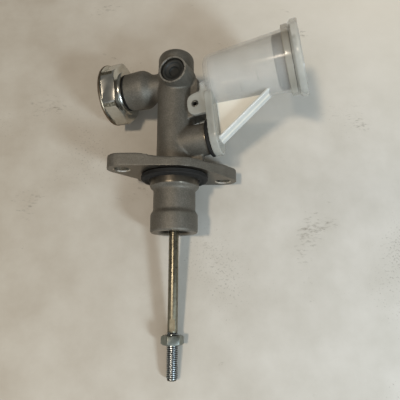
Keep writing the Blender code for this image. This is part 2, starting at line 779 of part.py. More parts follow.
def make_primary_seal():
    """Shim, primary cup and spring seat, stacked on the piston's nose."""
    hole = CUP_SEAT_R + GAP
    shim = PISTON_FRONT_Y + GAP
    turned("cup_shim", ring_profile(
        PISTON_R - MM, hole, shim + SHIM_T, shim,
    ), BORE, "steel", COARSE, closed=True)
    back = shim + SHIM_T + GAP
    front = back + PRIMARY_CUP_T
    heel = back + CUP_HEEL_T
    turned("primary_cup", [
        (PISTON_R - CUP_LIP, front),
        (PISTON_R, front),
        (PISTON_R - CUP_TAPER, back),
        (hole, back),
        (hole, heel),
        (hole + CUP_LIP, heel),
    ], BORE, "black_rubber", COARSE, closed=True)
    sleeve_r = hole + CUP_LIP - GAP
    seat_r = SPRING_COIL_R + SPRING_WIRE_R
    turned("spring_seat", [
        (sleeve_r, spring_start() + MM),
        (sleeve_r, spring_start()),
        (seat_r, spring_start()),
        (seat_r, front + GAP),
        (sleeve_r, front + GAP),
        (sleeve_r, heel + GAP),
        (hole, heel + GAP),
        (hole, spring_start() + MM),
    ], BORE, "steel", COARSE, closed=True)


def spring_start():
    """The face of the spring seat that the coil stands on."""
    return PISTON_FRONT_Y + GAP + SHIM_T + GAP + PRIMARY_CUP_T + GAP + SEAT_SHEET_T


def make_spring():
    """A round-wire coil between the spring seat and the closed end."""
    first = spring_start() + GAP + SPRING_WIRE_R
    last = BORE_END_Y - GAP - SPRING_WIRE_R
    count = SPRING_TURNS * SPRING_POINTS
    curve = bpy.data.curves.new("return_spring", "CURVE")
    curve.dimensions = "3D"
    curve.bevel_depth = SPRING_WIRE_R
    curve.bevel_resolution = 1
    curve.use_fill_caps = True
    spline = curve.splines.new("POLY")
    spline.points.add(count)
    for i, point in enumerate(spline.points):
        angle = 2 * math.pi * i / SPRING_POINTS
        share = i / count
        # the end turns lie nearly flat, as a ground spring's do
        rise = share - SPRING_CLOSE * math.sin(2 * math.pi * share)
        height = first + (last - first) * rise
        point.co = (SPRING_COIL_R * math.cos(angle), SPRING_COIL_R * math.sin(angle), height, 1)
    solid_from_curve("return_spring", curve, BORE, "steel")


def make_push_rod(up):
    """Ball end, shoulder, plain rod with two wrench flats, and the length that is threaded."""
    ball = arc((0, 0), BALL_R, math.pi / 2, -math.pi / 6, 9)
    shoulder = PISTON_REAR_Y + BREAK - BALL_Y
    thread = THREAD_START_Y - BALL_Y
    tip = ROD_TIP_Y - BALL_Y
    rod = turned("push_rod", ball + [
        (SHOULDER_R, shoulder + SHOULDER_T),
        (SHOULDER_R, shoulder),
        (ROD_R, shoulder),
        (ROD_R, thread + BREAK),
        (THREAD_R, thread),
        (THREAD_R, tip + TIP_CHAMFER),
        (THREAD_R - TIP_CHAMFER, tip),
        (0, tip),
    ], Matrix.Translation((0, BALL_Y, 0)) @ BORE, "zinc_plate", COARSE)
    middle = THREAD_START_Y + 2 * BREAK + WRENCH_LEN / 2
    place = axes_at((0, middle, 0), (0, 1, 0), up)
    for side in (-1, 1):
        shift = Matrix.Translation((side * (WRENCH_FLATS / 2 + ROD_R), 0, 0))
        size = (2 * ROD_R, 4 * ROD_R, WRENCH_LEN)
        cut(rod, block("wrench_flat_cut_%d" % side, size, place @ shift))


def make_retainers():
    """The washer that the piston rests on and the snap ring that holds it."""
    turned("stop_washer", ring_profile(
        MOUTH_R - GAP, STOP_HOLE_R, STOP_Y - GAP, STOP_Y - GAP - STOP_T,
    ), BORE, "steel", COARSE, closed=True)
    outer = MOUTH_R + GROOVE_DEPTH - GAP
    ring = turned("snap_ring", ring_profile(
        outer, outer - RING_BAND, RING_Y + RING_T / 2, RING_Y - RING_T / 2,
    ), BORE, "steel", COARSE, closed=True)
    place = Matrix.Translation((0, RING_Y, outer))
    cut(ring, block("ring_opening_cut", (RING_OPENING, 2 * RING_T, 4 * RING_BAND), place))


def nut_corner_r():
    return NUT_FLATS / 2 / math.cos(math.pi / 6)


def make_lock_nut(up):
    """A hexagon nut, chamfered at both faces."""
    place = axes_at((0, NUT_Y, 0), (0, 1, 0), up) @ Matrix.Rotation(NUT_TURN, 4, "Z")
    nut = hexagon("lock_nut", NUT_FLATS, -NUT_T / 2, NUT_T / 2, NUT_CHAMFER, place, "zinc_plate", COARSE)
    cut(nut, turned("nut_hole_cut", rod_profile(THREAD_R + GAP, NUT_T, -NUT_T), place, facets=COARSE))


def make_roll_pin():
    """A rolled spring pin, open along one side."""
    half = LUG_T / 2 + GAP + EAR_PLATE_T - PIN_INSET
    pin = turned("roll_pin", ring_profile(
        PIN_R, PIN_R - PIN_WALL, half, -half,
    ), PIN, "steel", COARSE, closed=True)
    place = PIN @ Matrix.Rotation(math.radians(35), 4, "Z") @ Matrix.Translation((PIN_R, 0, 0))
    cut(pin, block("pin_slot_cut", (2 * PIN_R, PIN_SLOT, 3 * half), place))


# ---------------------------------------------------------------- reservoir

def tank_inner_r(s):
    """The tank's inside radius at a distance s along it, between base and mouth."""
    share = (min(s, TANK_MOUTH_S) - TANK_BASE_S) / (TANK_MOUTH_S - TANK_BASE_S)
    return TANK_BASE_R + (TANK_MOUTH_R - TANK_BASE_R) * share - TANK_WALL


def base_corner(radius, height, bend):
    return arc((radius - bend, height + bend), bend, 0, -math.pi / 2, 5)


def make_tank():
    """The tapered tank with the lip round its mouth."""
    lip_end = TANK_MOUTH_S + LIP_T
    return turned("reservoir_body", [
        (0, lip_end),
        (LIP_R - BREAK, lip_end),
        (LIP_R, lip_end - BREAK),
        (LIP_R, TANK_MOUTH_S + BREAK),
        (TANK_MOUTH_R, TANK_MOUTH_S),
    ] + base_corner(TANK_BASE_R, TANK_BASE_S, TANK_ROUND) + [(0, TANK_BASE_S)], TANK, "white_plastic")


def make_leg_and_ears():
    """The hollow leg to the inlet, its spigot, and the two ears that the pin goes through."""
    leg = slab("leg_tool", arc((0, 0), FOOT_R, math.pi, 2 * math.pi, 15) + [
        (FOOT_R, TANK_Q - TANK_BASE_R / 2),
        (-FOOT_R, TANK_Q - TANK_BASE_R / 2),
    ], LEG_T, leg_place(LEG_S + LEG_T / 2))
    spigot = turned("spigot_tool", rod_profile(
        SPIGOT_R, LEG_S + LEG_T / 2, INLET_FLOOR + 2 * GAP,
    ), INLET, facets=COARSE)
    tools = [leg, spigot]
    for side in (-1, 1):
        height = side * (LUG_T / 2 + GAP + EAR_PLATE_T / 2)
        tools.append(slab("ear_tool_%d" % side, tongue_outline(), EAR_PLATE_T, side_plane(height)))
    return tools


def make_gusset():
    """A web between leg and tank, with a rib along its free edge."""
    root_s = LEG_S + LEG_T / 3
    root_q = TANK_Q - TANK_BASE_R * 0.7
    web = slab("gusset_tool", [
        (root_s, RIB_LOW.y),
        (RIB_LOW.x, RIB_LOW.y),
        (RIB_HIGH.x, RIB_HIGH.y),
        (RIB_HIGH.x, root_q),
        (root_s, root_q),
    ], WEB_T, side_plane())
    along = (RIB_HIGH - RIB_LOW).normalized()
    outward = Vector((along.y, -along.x)) * RIB_T
    start = RIB_LOW - along * RIB_FOOT
    end = RIB_HIGH + along * RIB_HEAD
    outline = [tuple(start), tuple(start + outward), tuple(end + outward), tuple(end)]
    return web, slab("rib_tool", outline, 2 * RIB_HALF, side_plane())


def make_tank_cutters():
    """The hollow, and the way from it through the leg and the spigot to the inlet."""
    floor = TANK_BASE_S + TANK_WALL
    mouth_r = TANK_MOUTH_R - TANK_WALL
    hollow = turned("tank_cut", [
        (0, TANK_MOUTH_S + LIP_T + EPS),
        (mouth_r, TANK_MOUTH_S + LIP_T + EPS),
        (mouth_r, TANK_MOUTH_S),
    ] + base_corner(TANK_BASE_R - TANK_WALL, floor, TANK_ROUND - TANK_WALL) + [(0, floor)], TANK)
    duct_r = SPIGOT_R - SPIGOT_WALL
    channel_low = LEG_S + TANK_WALL
    channel_high = floor + GAP
    middle = (channel_low + channel_high) / 2
    spigot_hole = turned(
        "spigot_cut", rod_profile(duct_r, middle, INLET_FLOOR), INLET_DRILL, facets=COARSE)
    channel_end = TANK_Q - TANK_BASE_R + TANK_ROUND + CHANNEL_OVERLAP
    channel = slab("channel_cut", arc((0, 0), duct_r, math.pi, 2 * math.pi, 9) + [
        (duct_r, channel_end),
        (-duct_r, channel_end),
    ], channel_high - channel_low, leg_place(middle))
    reach = 2 * LUG_T
    pin_hole = turned("ear_pin_cut", rod_profile(PIN_R + GAP, reach, -reach), PIN, facets=COARSE)
    return hollow, spigot_hole, channel, pin_hole


def make_reservoir():
    tank = make_tank()
    join(tank, *make_leg_and_ears(), *make_gusset())
    cut(tank, *make_tank_cutters())


def leg_place(s):
    """Outlines across the side axis: x is z and y is q, at distance s."""
    plane = Matrix((Vector((0, 0, 1)), ACROSS_AXIS, -SIDE_AXIS)).transposed().to_4x4()
    return Matrix.Translation(Vector((0, INLET_Y, 0)) + SIDE_AXIS * s) @ plane


def tongue_outline():
    """The reservoir's ear: a tongue from the base with a round end past the pin."""
    offset = Vector((PIN_X, PIN_Y - INLET_Y, 0))
    q = offset.dot(ACROSS_AXIS)
    tip = offset.dot(SIDE_AXIS) - TONGUE_TIP
    half = TONGUE_WIDTH / 2
    bend = TONGUE_ROUND
    root = TANK_BASE_S + TANK_WALL / 2
    return (
        [(root, q + half + TONGUE_FLARE)]
        + arc((tip + bend, q + half - bend), bend, math.pi / 2, math.pi, 5)
        + arc((tip + bend, q - half + bend), bend, math.pi, 1.5 * math.pi, 5)
        + [(root, q - half)]
    )


def make_cap():
    """The cap with its inner skirt, and the rubber bellows that it holds down."""
    rim_low = TANK_MOUTH_S + LIP_T + GAP
    rim_top = rim_low + BELLOWS_RIM_T
    bottom = rim_top - BELLOWS_DEPTH
    raised = bottom + BELLOWS_RISE
    mouth_r = tank_inner_r(TANK_MOUTH_S) - GAP
    bellows_r = tank_inner_r(bottom) - GAP
    centre_r = bellows_r * 0.45
    turned("cap_bellows", [
        (LIP_R - BELLOWS_RIM_INSET, rim_top),
        (LIP_R - BELLOWS_RIM_INSET, rim_low),
        (mouth_r, rim_low),
        (mouth_r, TANK_MOUTH_S),
        (bellows_r, bottom),
        (centre_r, bottom),
        (centre_r, raised),
        (0, raised),
        (0, raised + BELLOWS_WALL),
        (centre_r + BELLOWS_WALL, raised + BELLOWS_WALL),
        (centre_r + BELLOWS_WALL, bottom + BELLOWS_WALL),
        (bellows_r - BELLOWS_WALL, bottom + BELLOWS_WALL),
        (mouth_r - BELLOWS_WALL, TANK_MOUTH_S),
        (mouth_r - BELLOWS_WALL, rim_top),
    ], TANK, "grey_rubber", FINE, closed=True)
    low = rim_top + GAP
    top = low + CAP_T
    skirt_end = low - SKIRT_LEN
    skirt_r = tank_inner_r(skirt_end) - GAP - BELLOWS_WALL - GAP
    turned("reservoir_cap", [
        (0, top - CAP_DISH),
        (CAP_R * 0.72, top - CAP_DISH),
        (CAP_R * 0.78, top),
        (CAP_R - CAP_EDGE, top),
        (CAP_R, top - CAP_EDGE),
        (CAP_R, low),
        (skirt_r, low),
        (skirt_r, skirt_end),
        (skirt_r - SKIRT_T, skirt_end),
        (skirt_r - SKIRT_T, top - CAP_TOP_T),
        (0, top - CAP_TOP_T),
    ], TANK, "white_plastic")


# ---------------------------------------------------------------- laying it down

def lowest_point(circles, up):
    """The lowest point of a set of circles (centre, axis, radius) for a given up."""
    best = None
    for centre, axis, radius in circles:
        down = axis * up.dot(axis) - up
        point = centre + down.normalized() * radius
        if best is None or point.dot(up) < best.dot(up):
            best = point
    return best


def resting_up():
    """The table's upward normal, from the three places that the cylinder lies on."""
    bore = Vector((0, 1, 0))
    damper_centre = Vector((0, DAMPER_Y, 0)) + DAMPER_AXIS * (DAMPER_END_S - BREAK)
    rim = [(damper_centre, DAMPER_AXIS, DAMPER_R)]
    rim += hexagon_corners(DAMPER_FLATS, DAMPER_RIM_S + BREAK - DAMPER_CHAMFER, DAMPER_HEAD)
    ear_centre = Vector((math.cos(EAR_ANGLE), 0, math.sin(EAR_ANGLE))) * EAR_REACH
    ear = [(ear_centre + bore * y, bore, EAR_R) for y in (0, EAR_T)]
    nut_reach = nut_corner_r() * math.cos(math.pi / 3 - NUT_TURN)
    rod = [
        (bore * ROD_TIP_Y, bore, THREAD_R - TIP_CHAMFER),
        (bore * (ROD_TIP_Y + TIP_CHAMFER), bore, THREAD_R),
        (bore * (NUT_Y - NUT_T / 2 + NUT_CHAMFER), bore, nut_reach),
    ]
    up = Vector((0, 0, 1))
    for _ in range(30):
        a, b, c = (lowest_point(circles, up) for circles in (rim, ear, rod))
        up = (b - a).cross(c - a).normalized()
        if up.z < 0:
            up = -up
    return up


def lay_down(up):
    """Turn the frame so that up is +Z, and stand the model over the origin."""
    bore = Vector((0, 1, 0))
    y = (bore - up * bore.dot(up)).normalized()
    x = y.cross(up)
    frame.matrix_world = Matrix((x, y, up)).to_4x4()
    bpy.context.view_layer.update()
    graph = bpy.context.evaluated_depsgraph_get()
    low = Vector((1, 1, 1))
    high = -low
    for obj in parts.objects:
        if obj.type != "MESH":
            continue
        posed = obj.evaluated_get(graph)
        for vertex in posed.data.vertices:
            point = posed.matrix_world @ vertex.co
            low = Vector(map(min, low, point))
            high = Vector(map(max, high, point))
    middle = (low + high) / 2
    frame.matrix_world = Matrix.Translation((-middle.x, -middle.y, -low.z)) @ frame.matrix_world
    bpy.context.view_layer.update()


def shade_round():
    for obj in parts.objects:
        if obj.type == "MESH":
            obj.data.shade_smooth()
            obj.data.set_sharp_from_angle(angle=math.radians(35))


table_up = resting_up()
make_body()
make_flange_seal()
make_grommet()
make_port_pieces()
make_damper()
make_piston()
make_primary_seal()
make_spring()
make_push_rod(table_up)
make_retainers()
make_lock_nut(table_up)
make_roll_pin()
make_reservoir()
make_cap()
shade_round()
lay_down(table_up)
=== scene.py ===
import json
import math

import bpy
from mathutils import Matrix, Vector


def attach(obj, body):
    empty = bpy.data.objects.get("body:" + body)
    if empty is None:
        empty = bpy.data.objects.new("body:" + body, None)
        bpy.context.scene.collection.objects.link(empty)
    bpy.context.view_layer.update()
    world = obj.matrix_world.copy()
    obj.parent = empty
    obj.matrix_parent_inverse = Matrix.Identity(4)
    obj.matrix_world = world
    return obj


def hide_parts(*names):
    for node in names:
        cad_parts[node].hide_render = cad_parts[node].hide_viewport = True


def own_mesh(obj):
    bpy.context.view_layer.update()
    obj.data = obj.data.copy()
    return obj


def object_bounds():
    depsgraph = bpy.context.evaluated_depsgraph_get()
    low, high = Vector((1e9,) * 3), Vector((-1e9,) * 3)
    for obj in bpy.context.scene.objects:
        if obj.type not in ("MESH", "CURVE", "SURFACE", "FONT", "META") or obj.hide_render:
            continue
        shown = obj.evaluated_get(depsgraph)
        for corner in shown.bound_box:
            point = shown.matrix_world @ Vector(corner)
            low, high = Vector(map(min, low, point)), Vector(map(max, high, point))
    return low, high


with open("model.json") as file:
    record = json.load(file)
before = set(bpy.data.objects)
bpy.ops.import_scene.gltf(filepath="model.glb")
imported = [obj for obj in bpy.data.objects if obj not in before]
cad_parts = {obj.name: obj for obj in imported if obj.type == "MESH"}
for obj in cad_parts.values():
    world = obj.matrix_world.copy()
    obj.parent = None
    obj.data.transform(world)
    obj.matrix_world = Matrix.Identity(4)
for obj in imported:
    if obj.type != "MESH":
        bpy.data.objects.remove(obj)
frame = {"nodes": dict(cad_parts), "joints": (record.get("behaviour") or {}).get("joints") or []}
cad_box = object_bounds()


# ---------------------------------------------------------------- how the cylinder lies
# A hydraulic master cylinder rests on a table on its damper, one flange ear and its rod.
# It is drawn in its own directions: y along the bore towards the closed end and 0 at the
# mounting face, x towards the reservoir, z along the outlet port.

mm = 0.001
ball_y = -24         # the centre of the rod's ball
joints = {joint["name"]: joint for joint in frame["joints"]}
bore = Vector(joints["piston_slide"]["axis"]).normalized()
outlet = Vector(joints["plug_pull"]["axis"]).normalized()
ball_centre = Vector(joints["push_rod_swing"]["pos_m"])
lay = Matrix((bore.cross(outlet), bore, outlet)).transposed().to_4x4()
lay.translation = ball_centre - bore * (ball_y * mm)


def set_up(x, y, z, along, side=(0, 0, 1)):
    """A place in the cylinder's own millimetres, whose z runs along the given direction."""
    z_axis = Vector(along).normalized()
    y_axis = z_axis.cross(Vector(side)).normalized()
    turn = Matrix((y_axis.cross(z_axis), y_axis, z_axis)).transposed().to_4x4()
    return lay @ Matrix.Translation(Vector((x, y, z)) * mm) @ turn


def turned(degrees, axis="Z"):
    """A turn about one of a place's own axes."""
    return Matrix.Rotation(math.radians(degrees), 4, axis)


def moved(x, y, z):
    """A shift in millimetres."""
    return Matrix.Translation(Vector((x, y, z)) * mm)


on_bore = set_up(0, 0, 0, (0, 1, 0))


# ---------------------------------------------------------------- body casting
# One sand casting in silicon aluminium: barrel, flange, snout and the bosses that grow out
# of it with soft fillets. Faces, bores and holes are machined afterwards, so their edges
# are crisp and they shine where the grainy grey skin is dull.

def bare():
    """Object mode with nothing selected."""
    if bpy.context.object and bpy.context.object.mode != "OBJECT":
        bpy.ops.object.mode_set(mode="OBJECT")
    bpy.ops.object.select_all(action="DESELECT")


def pick(obj):
    """Makes obj the only selected object and the active one."""
    bare()
    obj.select_set(True)
    bpy.context.view_layer.objects.active = obj


def wire(name, points):
    """A chain of edges through points in millimetres, drawn by extruding one vertex."""
    bare()
    bpy.ops.mesh.primitive_plane_add(size=mm)
    obj = bpy.context.object
    obj.name = name
    bpy.ops.object.mode_set(mode="EDIT")
    bpy.ops.mesh.select_all(action="SELECT")
    bpy.ops.mesh.merge(type="CENTER")
    bpy.ops.transform.translate(value=Vector(points[0]) * mm)
    for start, end in zip(points, points[1:]):
        step = (Vector(end) - Vector(start)) * mm
        bpy.ops.mesh.extrude_vertices_move(TRANSFORM_OT_translate={"value": step})
    return obj


def fix(obj):
    """Puts an object's place into its mesh."""
    pick(obj)
    bpy.ops.object.transform_apply(location=True, rotation=True, scale=True)
    return obj


def settle(obj, place):
    """Closes a new shell, turns its faces outwards and puts it in its place."""
    bpy.ops.mesh.select_all(action="SELECT")
    bpy.ops.mesh.remove_doubles(threshold=0.001 * mm)
    bpy.ops.mesh.normals_make_consistent(inside=False)
    bpy.ops.object.mode_set(mode="OBJECT")
    obj.matrix_world = place
    return fix(obj)


def lathe(name, profile, place, facets=96, ring=False):
    """Spins (radius, height) points about z; a ring's profile closes on itself."""
    points = [(radius, 0, height) for radius, height in profile]
    if ring:
        points.append(points[0])
    obj = wire(name, points)
    bpy.ops.mesh.select_all(action="SELECT")
    bpy.ops.mesh.spin(steps=facets, angle=2 * math.pi, center=(0, 0, 0), axis=(0, 0, 1))
    return settle(obj, place)


def drill(name, place, *steps):
    """A turned cutter: (radius, height) points from its mouth inwards."""
    return lathe(name, [(0, steps[0][1]), *steps, (0, steps[-1][1])], place, 64)


def plate(name, outline, thickness, place):
    """Fills a flat outline and thickens it by the same amount to both sides of its plane."""
    obj = wire(name, [(x, y, -thickness / 2) for x, y in outline])
    bpy.ops.mesh.select_all(action="SELECT")
    bpy.ops.mesh.edge_face_add()
    lift = {"value": (0, 0, thickness * mm)}
    bpy.ops.mesh.extrude_region_move(TRANSFORM_OT_translate=lift)
    return settle(obj, place)


def arc(centre, radius, start, end, count):
    """Points on an arc, angles in degrees."""
    points = []
    for i in range(count):
        angle = math.radians(start + (end - start) * i / (count - 1))
        points.append((centre[0] + radius * math.cos(angle),
                       centre[1] + radius * math.sin(angle)))
    return points


def apply(obj, kind, **settings):
    """Adds one modifier and applies it."""
    pick(obj)
    modifier = obj.modifiers.new(kind.lower(), kind)
    for key, value in settings.items():
        setattr(modifier, key, value)
    bpy.ops.object.modifier_apply(modifier=modifier.name)
    return obj


def soften(obj, width, segments=2, degrees=30):
    """Bevels the edges that turn by more than the angle."""
    return apply(obj, "BEVEL", width=width * mm, segments=segments, limit_method="ANGLE",
                 angle_limit=math.radians(degrees))


def cut(obj, *tools, operation="DIFFERENCE"):
    """Machines obj with each tool in turn; the tools are used up."""
    for tool in tools:
        apply(obj, "BOOLEAN", operation=operation, object=tool, solver="MANIFOLD")
        bpy.data.objects.remove(tool, do_unlink=True)
    return obj


def melt(name, parts, voxel, rounds):
    """Flows overlapping shells into one skin, as a mould does, and softens its corners."""
    pick(parts[0])
    for part in parts[1:]:
        part.select_set(True)
    bpy.ops.object.join()
    obj = bpy.context.object
    obj.name = name
    apply(obj, "REMESH", mode="VOXEL", voxel_size=voxel * mm, adaptivity=0)
    return apply(obj, "SMOOTH", factor=0.5, iterations=rounds)


def smooth(obj, degrees=32):
    """Shades smoothly across the edges that turn by less than the angle."""
    pick(obj)
    bpy.ops.object.shade_smooth_by_angle(angle=math.radians(degrees))
    return obj


flange_t, hub_t, hub_r = 9.3, 5.8, 28
ear_reach, ear_r, ear_angle, ear_hole_r = 40.5, 10.5, -42, 5.5
barrel_r, bore_r, bore_end = 14, 9.525, 88
pilot_r, pilot_end = 18.1, -9.3
neck_r, collar_r, snout_end, mouth_r = 15.6, 17.4, -43.2, 11
groove_r, groove_low, groove_high = 11.9, -37.1, -34.7
lean = math.radians(6)
to_tank = (math.cos(lean), math.sin(lean), 0)
across = (-math.sin(lean), math.cos(lean), 0)
inlet_y, inlet_end, inlet_r = 23.7, 28.4, 8
seat_s = inlet_end - 0.9
port_x, port_y, port_top, port_r = 4.8, 76.1, 20.5, 9.2
damper_y, boss_end, damper_hole_r = 74.4, 39.5, 10
damper_lean = math.radians(1.5)
to_damper = (-math.cos(damper_lean), -math.sin(damper_lean), 0)
pin_x, pin_y, pin_r, lug_t = 19.5, 50.7, 2.5, 13.8
pad_x, pad_y, pad_half, pad_corner = -19.5, -7, 7.5, 2
drill_r = 1.5        # the small passages between the bosses and the bore
spare = 0.8          # metal left on a face for the cutter to take off

on_inlet = set_up(0, inlet_y, 0, to_tank)
on_port = set_up(port_x, port_y, 0, (0, 0, 1), (1, 0, 0))
on_damper = set_up(0, damper_y, 0, to_damper)
on_pin = set_up(pin_x, pin_y, 0, (0, 0, 1), (1, 0, 0))

tilt = math.degrees(math.acos((hub_r - ear_r) / ear_reach))
flange_line = []
for turn in (0, 180):
    axis = ear_angle + turn
    angle = math.radians(axis)
    ear = (ear_reach * math.cos(angle), ear_reach * math.sin(angle))
    flange_line += arc(ear, ear_r, axis - tilt, axis + tilt, 15)
    flange_line += arc((0, 0), hub_r, axis + tilt, axis + 180 - tilt, 15)[1:-1]
in_flange = moved(0, (flange_t - spare) / 2, 0) @ turned(90, "X")
flange = plate("flange", flange_line, flange_t + spare, lay @ in_flange)
pad_line = []
for corner, (sx, sy) in enumerate(((1, 1), (-1, 1), (-1, -1), (1, -1))):
    pad_line += arc((pad_x + sx * pad_half, pad_y + sy * pad_half), pad_corner,
                    corner * 90, corner * 90 + 90, 5)
pad = plate("pad", pad_line, flange_t + spare, lay @ turned(18, "Y") @ in_flange)
cut(flange, lathe("dish", [
    (0, flange_t + 2), (42.2, flange_t + 2), (36, flange_t), (25, hub_t), (0, hub_t),
], on_bore))

barrel = lathe("barrel", [(0, 100)] + arc((7.5, 93.5), 6.5, 90, 0, 8) + [
    (barrel_r, hub_t / 2), (pilot_r + 0.2, hub_t / 2), (pilot_r + 0.2, pilot_end),
    (neck_r, -11.9), (neck_r, -27.4), (collar_r, -30), (collar_r, snout_end + 0.6),
    (collar_r - 1.4, snout_end - spare), (0, snout_end - spare),
], on_bore)
inlet_boss = lathe("inlet_boss", [
    (0, inlet_end + spare), (11.6, inlet_end + spare), (11.9, inlet_end - 1), (12.4, 14),
    (12.6, 5), (0, 5),
], on_inlet)
port_boss = lathe("port_boss", [
    (0, port_top + spare), (10.4, port_top + spare), (10.6, port_top - 1), (12, 0),
    (7.2, -9), (0, -9),
], on_port)
damper_boss = lathe("damper_boss", [
    (0, boss_end + spare), (14.4, boss_end + spare), (14.6, boss_end - 1), (15.1, 31),
    (15.3, 26.5), (14.8, 24), (13.3, 21.5), (11.6, 19.5), (10.6, 17), (10.5, 14),
    (10.5, 5), (0, 5),
], on_damper)
lug = plate("lug", [
    (10.5, pin_y - 10), *arc((pin_x, pin_y), 7, -90, 90, 13), (10.5, pin_y + 10),
], lug_t, lay)
fin = plate("fin", [
    (9.5, pin_y), (19.2, pin_y), (19.2, 74.2), (18.2, 75.4), (9.5, 79),
], 8, lay)
rib = plate("rib", [(9.5, 2.9), (24, 2.9), (24, 6.8), (20.4, inlet_y), (9.5, 29.6)], 5, lay)
casting = melt("casting", [
    barrel, flange, pad, inlet_boss, port_boss, damper_boss, lug, fin, rib,
], voxel=0.62, rounds=10)

cut(
    casting,
    lathe("front_facing", [(60, 0), (60, -3), (pilot_r, -3), (pilot_r, 0)], on_bore, ring=True),
    drill("mouth_facing", on_bore, (30, snout_end - 3), (30, snout_end)),
    drill("bore_tool", on_bore, (mouth_r + 2.2, snout_end - 1), (mouth_r, snout_end + 1.2),
          (mouth_r, groove_low), (groove_r, groove_low), (groove_r, groove_high),
          (mouth_r, groove_high), (mouth_r, -34.2), (bore_r, -34.2), (bore_r, bore_end)),
    drill("port_facing", on_port, (16, port_top + 4), (16, port_top)),
    drill("port_tool", on_port, (port_r + 0.5, port_top + 0.5), (port_r, port_top - 0.4),
          (port_r, port_top - 6), (5.4, port_top - 6), (5.4, 11), (drill_r, 11), (drill_r, 5)),
    drill("damper_facing", on_damper, (22, boss_end + 4), (22, boss_end)),
    drill("damper_tool", on_damper, (damper_hole_r, boss_end + 1), (damper_hole_r, 24),
          (drill_r, 22), (drill_r, 5)),
    drill("inlet_facing", on_inlet, (16, seat_s + 4), (16, seat_s)),
    lathe("inlet_bevel", [(11, seat_s + 0.1), (14, seat_s + 0.1), (14, seat_s - 2.2)],
          on_inlet, ring=True),
    drill("inlet_tool", on_inlet, (inlet_r, inlet_end + 1), (inlet_r, 15), (1.6, 14.9), (1.6, 5)),
    drill("pin_drill", on_pin, (pin_r + 0.3, 12), (pin_r + 0.3, -12)),
)
on_ears = []
for turn in (0, 180):
    angle = math.radians(ear_angle + turn)
    on_ears.append(set_up(ear_reach * math.cos(angle), 0, ear_reach * math.sin(angle), (0, 1, 0)))
    cut(casting, drill("ear_drill", on_ears[-1], (7.2, -1), (ear_hole_r, 0.7),
                       (ear_hole_r, flange_t + 2)))
smooth(casting, 40)


def paint(code):
    """An sRGB hex colour as the linear values that a shader takes."""
    values = []
    for i in (1, 3, 5):
        value = int(code[i:i + 2], 16) / 255
        values.append(value / 12.92 if value <= 0.04045 else ((value + 0.055) / 1.055) ** 2.4)
    return (*values, 1)


def add(tree, kind, links=None, **settings):
    """Adds one node with its settings and the links into it."""
    node = tree.nodes.new(kind)
    for key, value in settings.items():
        if hasattr(node, key):
            setattr(node, key, value)
        else:
            node.inputs[key.replace("_", " ")].default_value = value
    for key, source in (links or {}).items():
        tree.links.new(source, node.inputs[key])
    return node


def noise(tree, where, scale, detail, roughness=0.5):
    """A cloudy pattern; its clouds are about 1000 / scale millimetres across."""
    node = add(tree, "ShaderNodeTexNoise", {"Vector": where}, Scale=scale, Detail=detail,
               Roughness=roughness)
    return node.outputs["Fac"]


def spread(tree, value, low, high, start=0, end=1):
    """Maps a value that runs from start to end onto low to high."""
    node = add(tree, "ShaderNodeMapRange", {"Value": value}, From_Min=start, From_Max=end,
               To_Min=low, To_Max=high)
    return node.outputs["Result"]


def reckon(tree, operation, first, second):
    """Adds or multiplies two values."""
    node = add(tree, "ShaderNodeMath", {0: first, 1: second}, operation=operation)
    return node.outputs["Value"]


def shades(tree, value, *stops):
    """A ramp through (position, hex colour) stops."""
    ramp = add(tree, "ShaderNodeValToRGB", {"Fac": value})
    elements = ramp.color_ramp.elements
    while len(elements) < len(stops):
        elements.new(0.5)
    for element, (position, code) in zip(elements, stops):
        element.position = position
        element.color = paint(code)
    return ramp.outputs["Color"]


def finish_of(name, **settings):
    """A new material: its tree, its shader and the piece's own coordinates."""
    made = bpy.data.materials.new(name)
    made.use_nodes = True
    shader = made.node_tree.nodes["Principled BSDF"]
    for key, value in settings.items():
        shader.inputs[key.replace("_", " ")].default_value = value
    where = made.node_tree.nodes.new("ShaderNodeTexCoord").outputs["Object"]
    return made, made.node_tree, shader, where


def emboss(tree, shader, height, strength, depth):
    """Lifts the surface where the pattern is light; the depth is in millimetres."""
    bump = add(tree, "ShaderNodeBump", {"Height": height}, Strength=strength,
               Distance=depth * mm)
    tree.links.new(bump.outputs["Normal"], shader.inputs["Normal"])


def clouded(name, scale, detail, *stops, rough=None, **settings):
    """A material whose colour, and roughness if a range is given, drift with one noise."""
    made, tree, shader, where = finish_of(name, **settings)
    drift = noise(tree, where, scale, detail)
    tree.links.new(shades(tree, drift, *stops), shader.inputs["Base Color"])
    if rough:
        tree.links.new(spread(tree, drift, *rough), shader.inputs["Roughness"])
    return made


# Sand-cast aluminium: a dull warm grey with faint stains and a grain of about 0.4 mm,
# drawn at 0.9 mm so that it still shows from arm's length.
cast, tree, shader, where = finish_of("sand_cast_aluminium", Metallic=0.5)
stain = noise(tree, where, 90, 4, 0.6)
grain = noise(tree, where, 1100, 3, 0.7)
both = add(tree, "ShaderNodeMix", {"A": stain, "B": grain}, Factor=0.65).outputs["Result"]
grey = shades(tree, both, (0.36, "#55514a"), (0.5, "#635f56"), (0.64, "#736e66"))
tree.links.new(grey, shader.inputs["Base Color"])
tree.links.new(spread(tree, grain, 0.42, 0.62), shader.inputs["Roughness"])
emboss(tree, shader, grain, strength=0.7, depth=0.3)

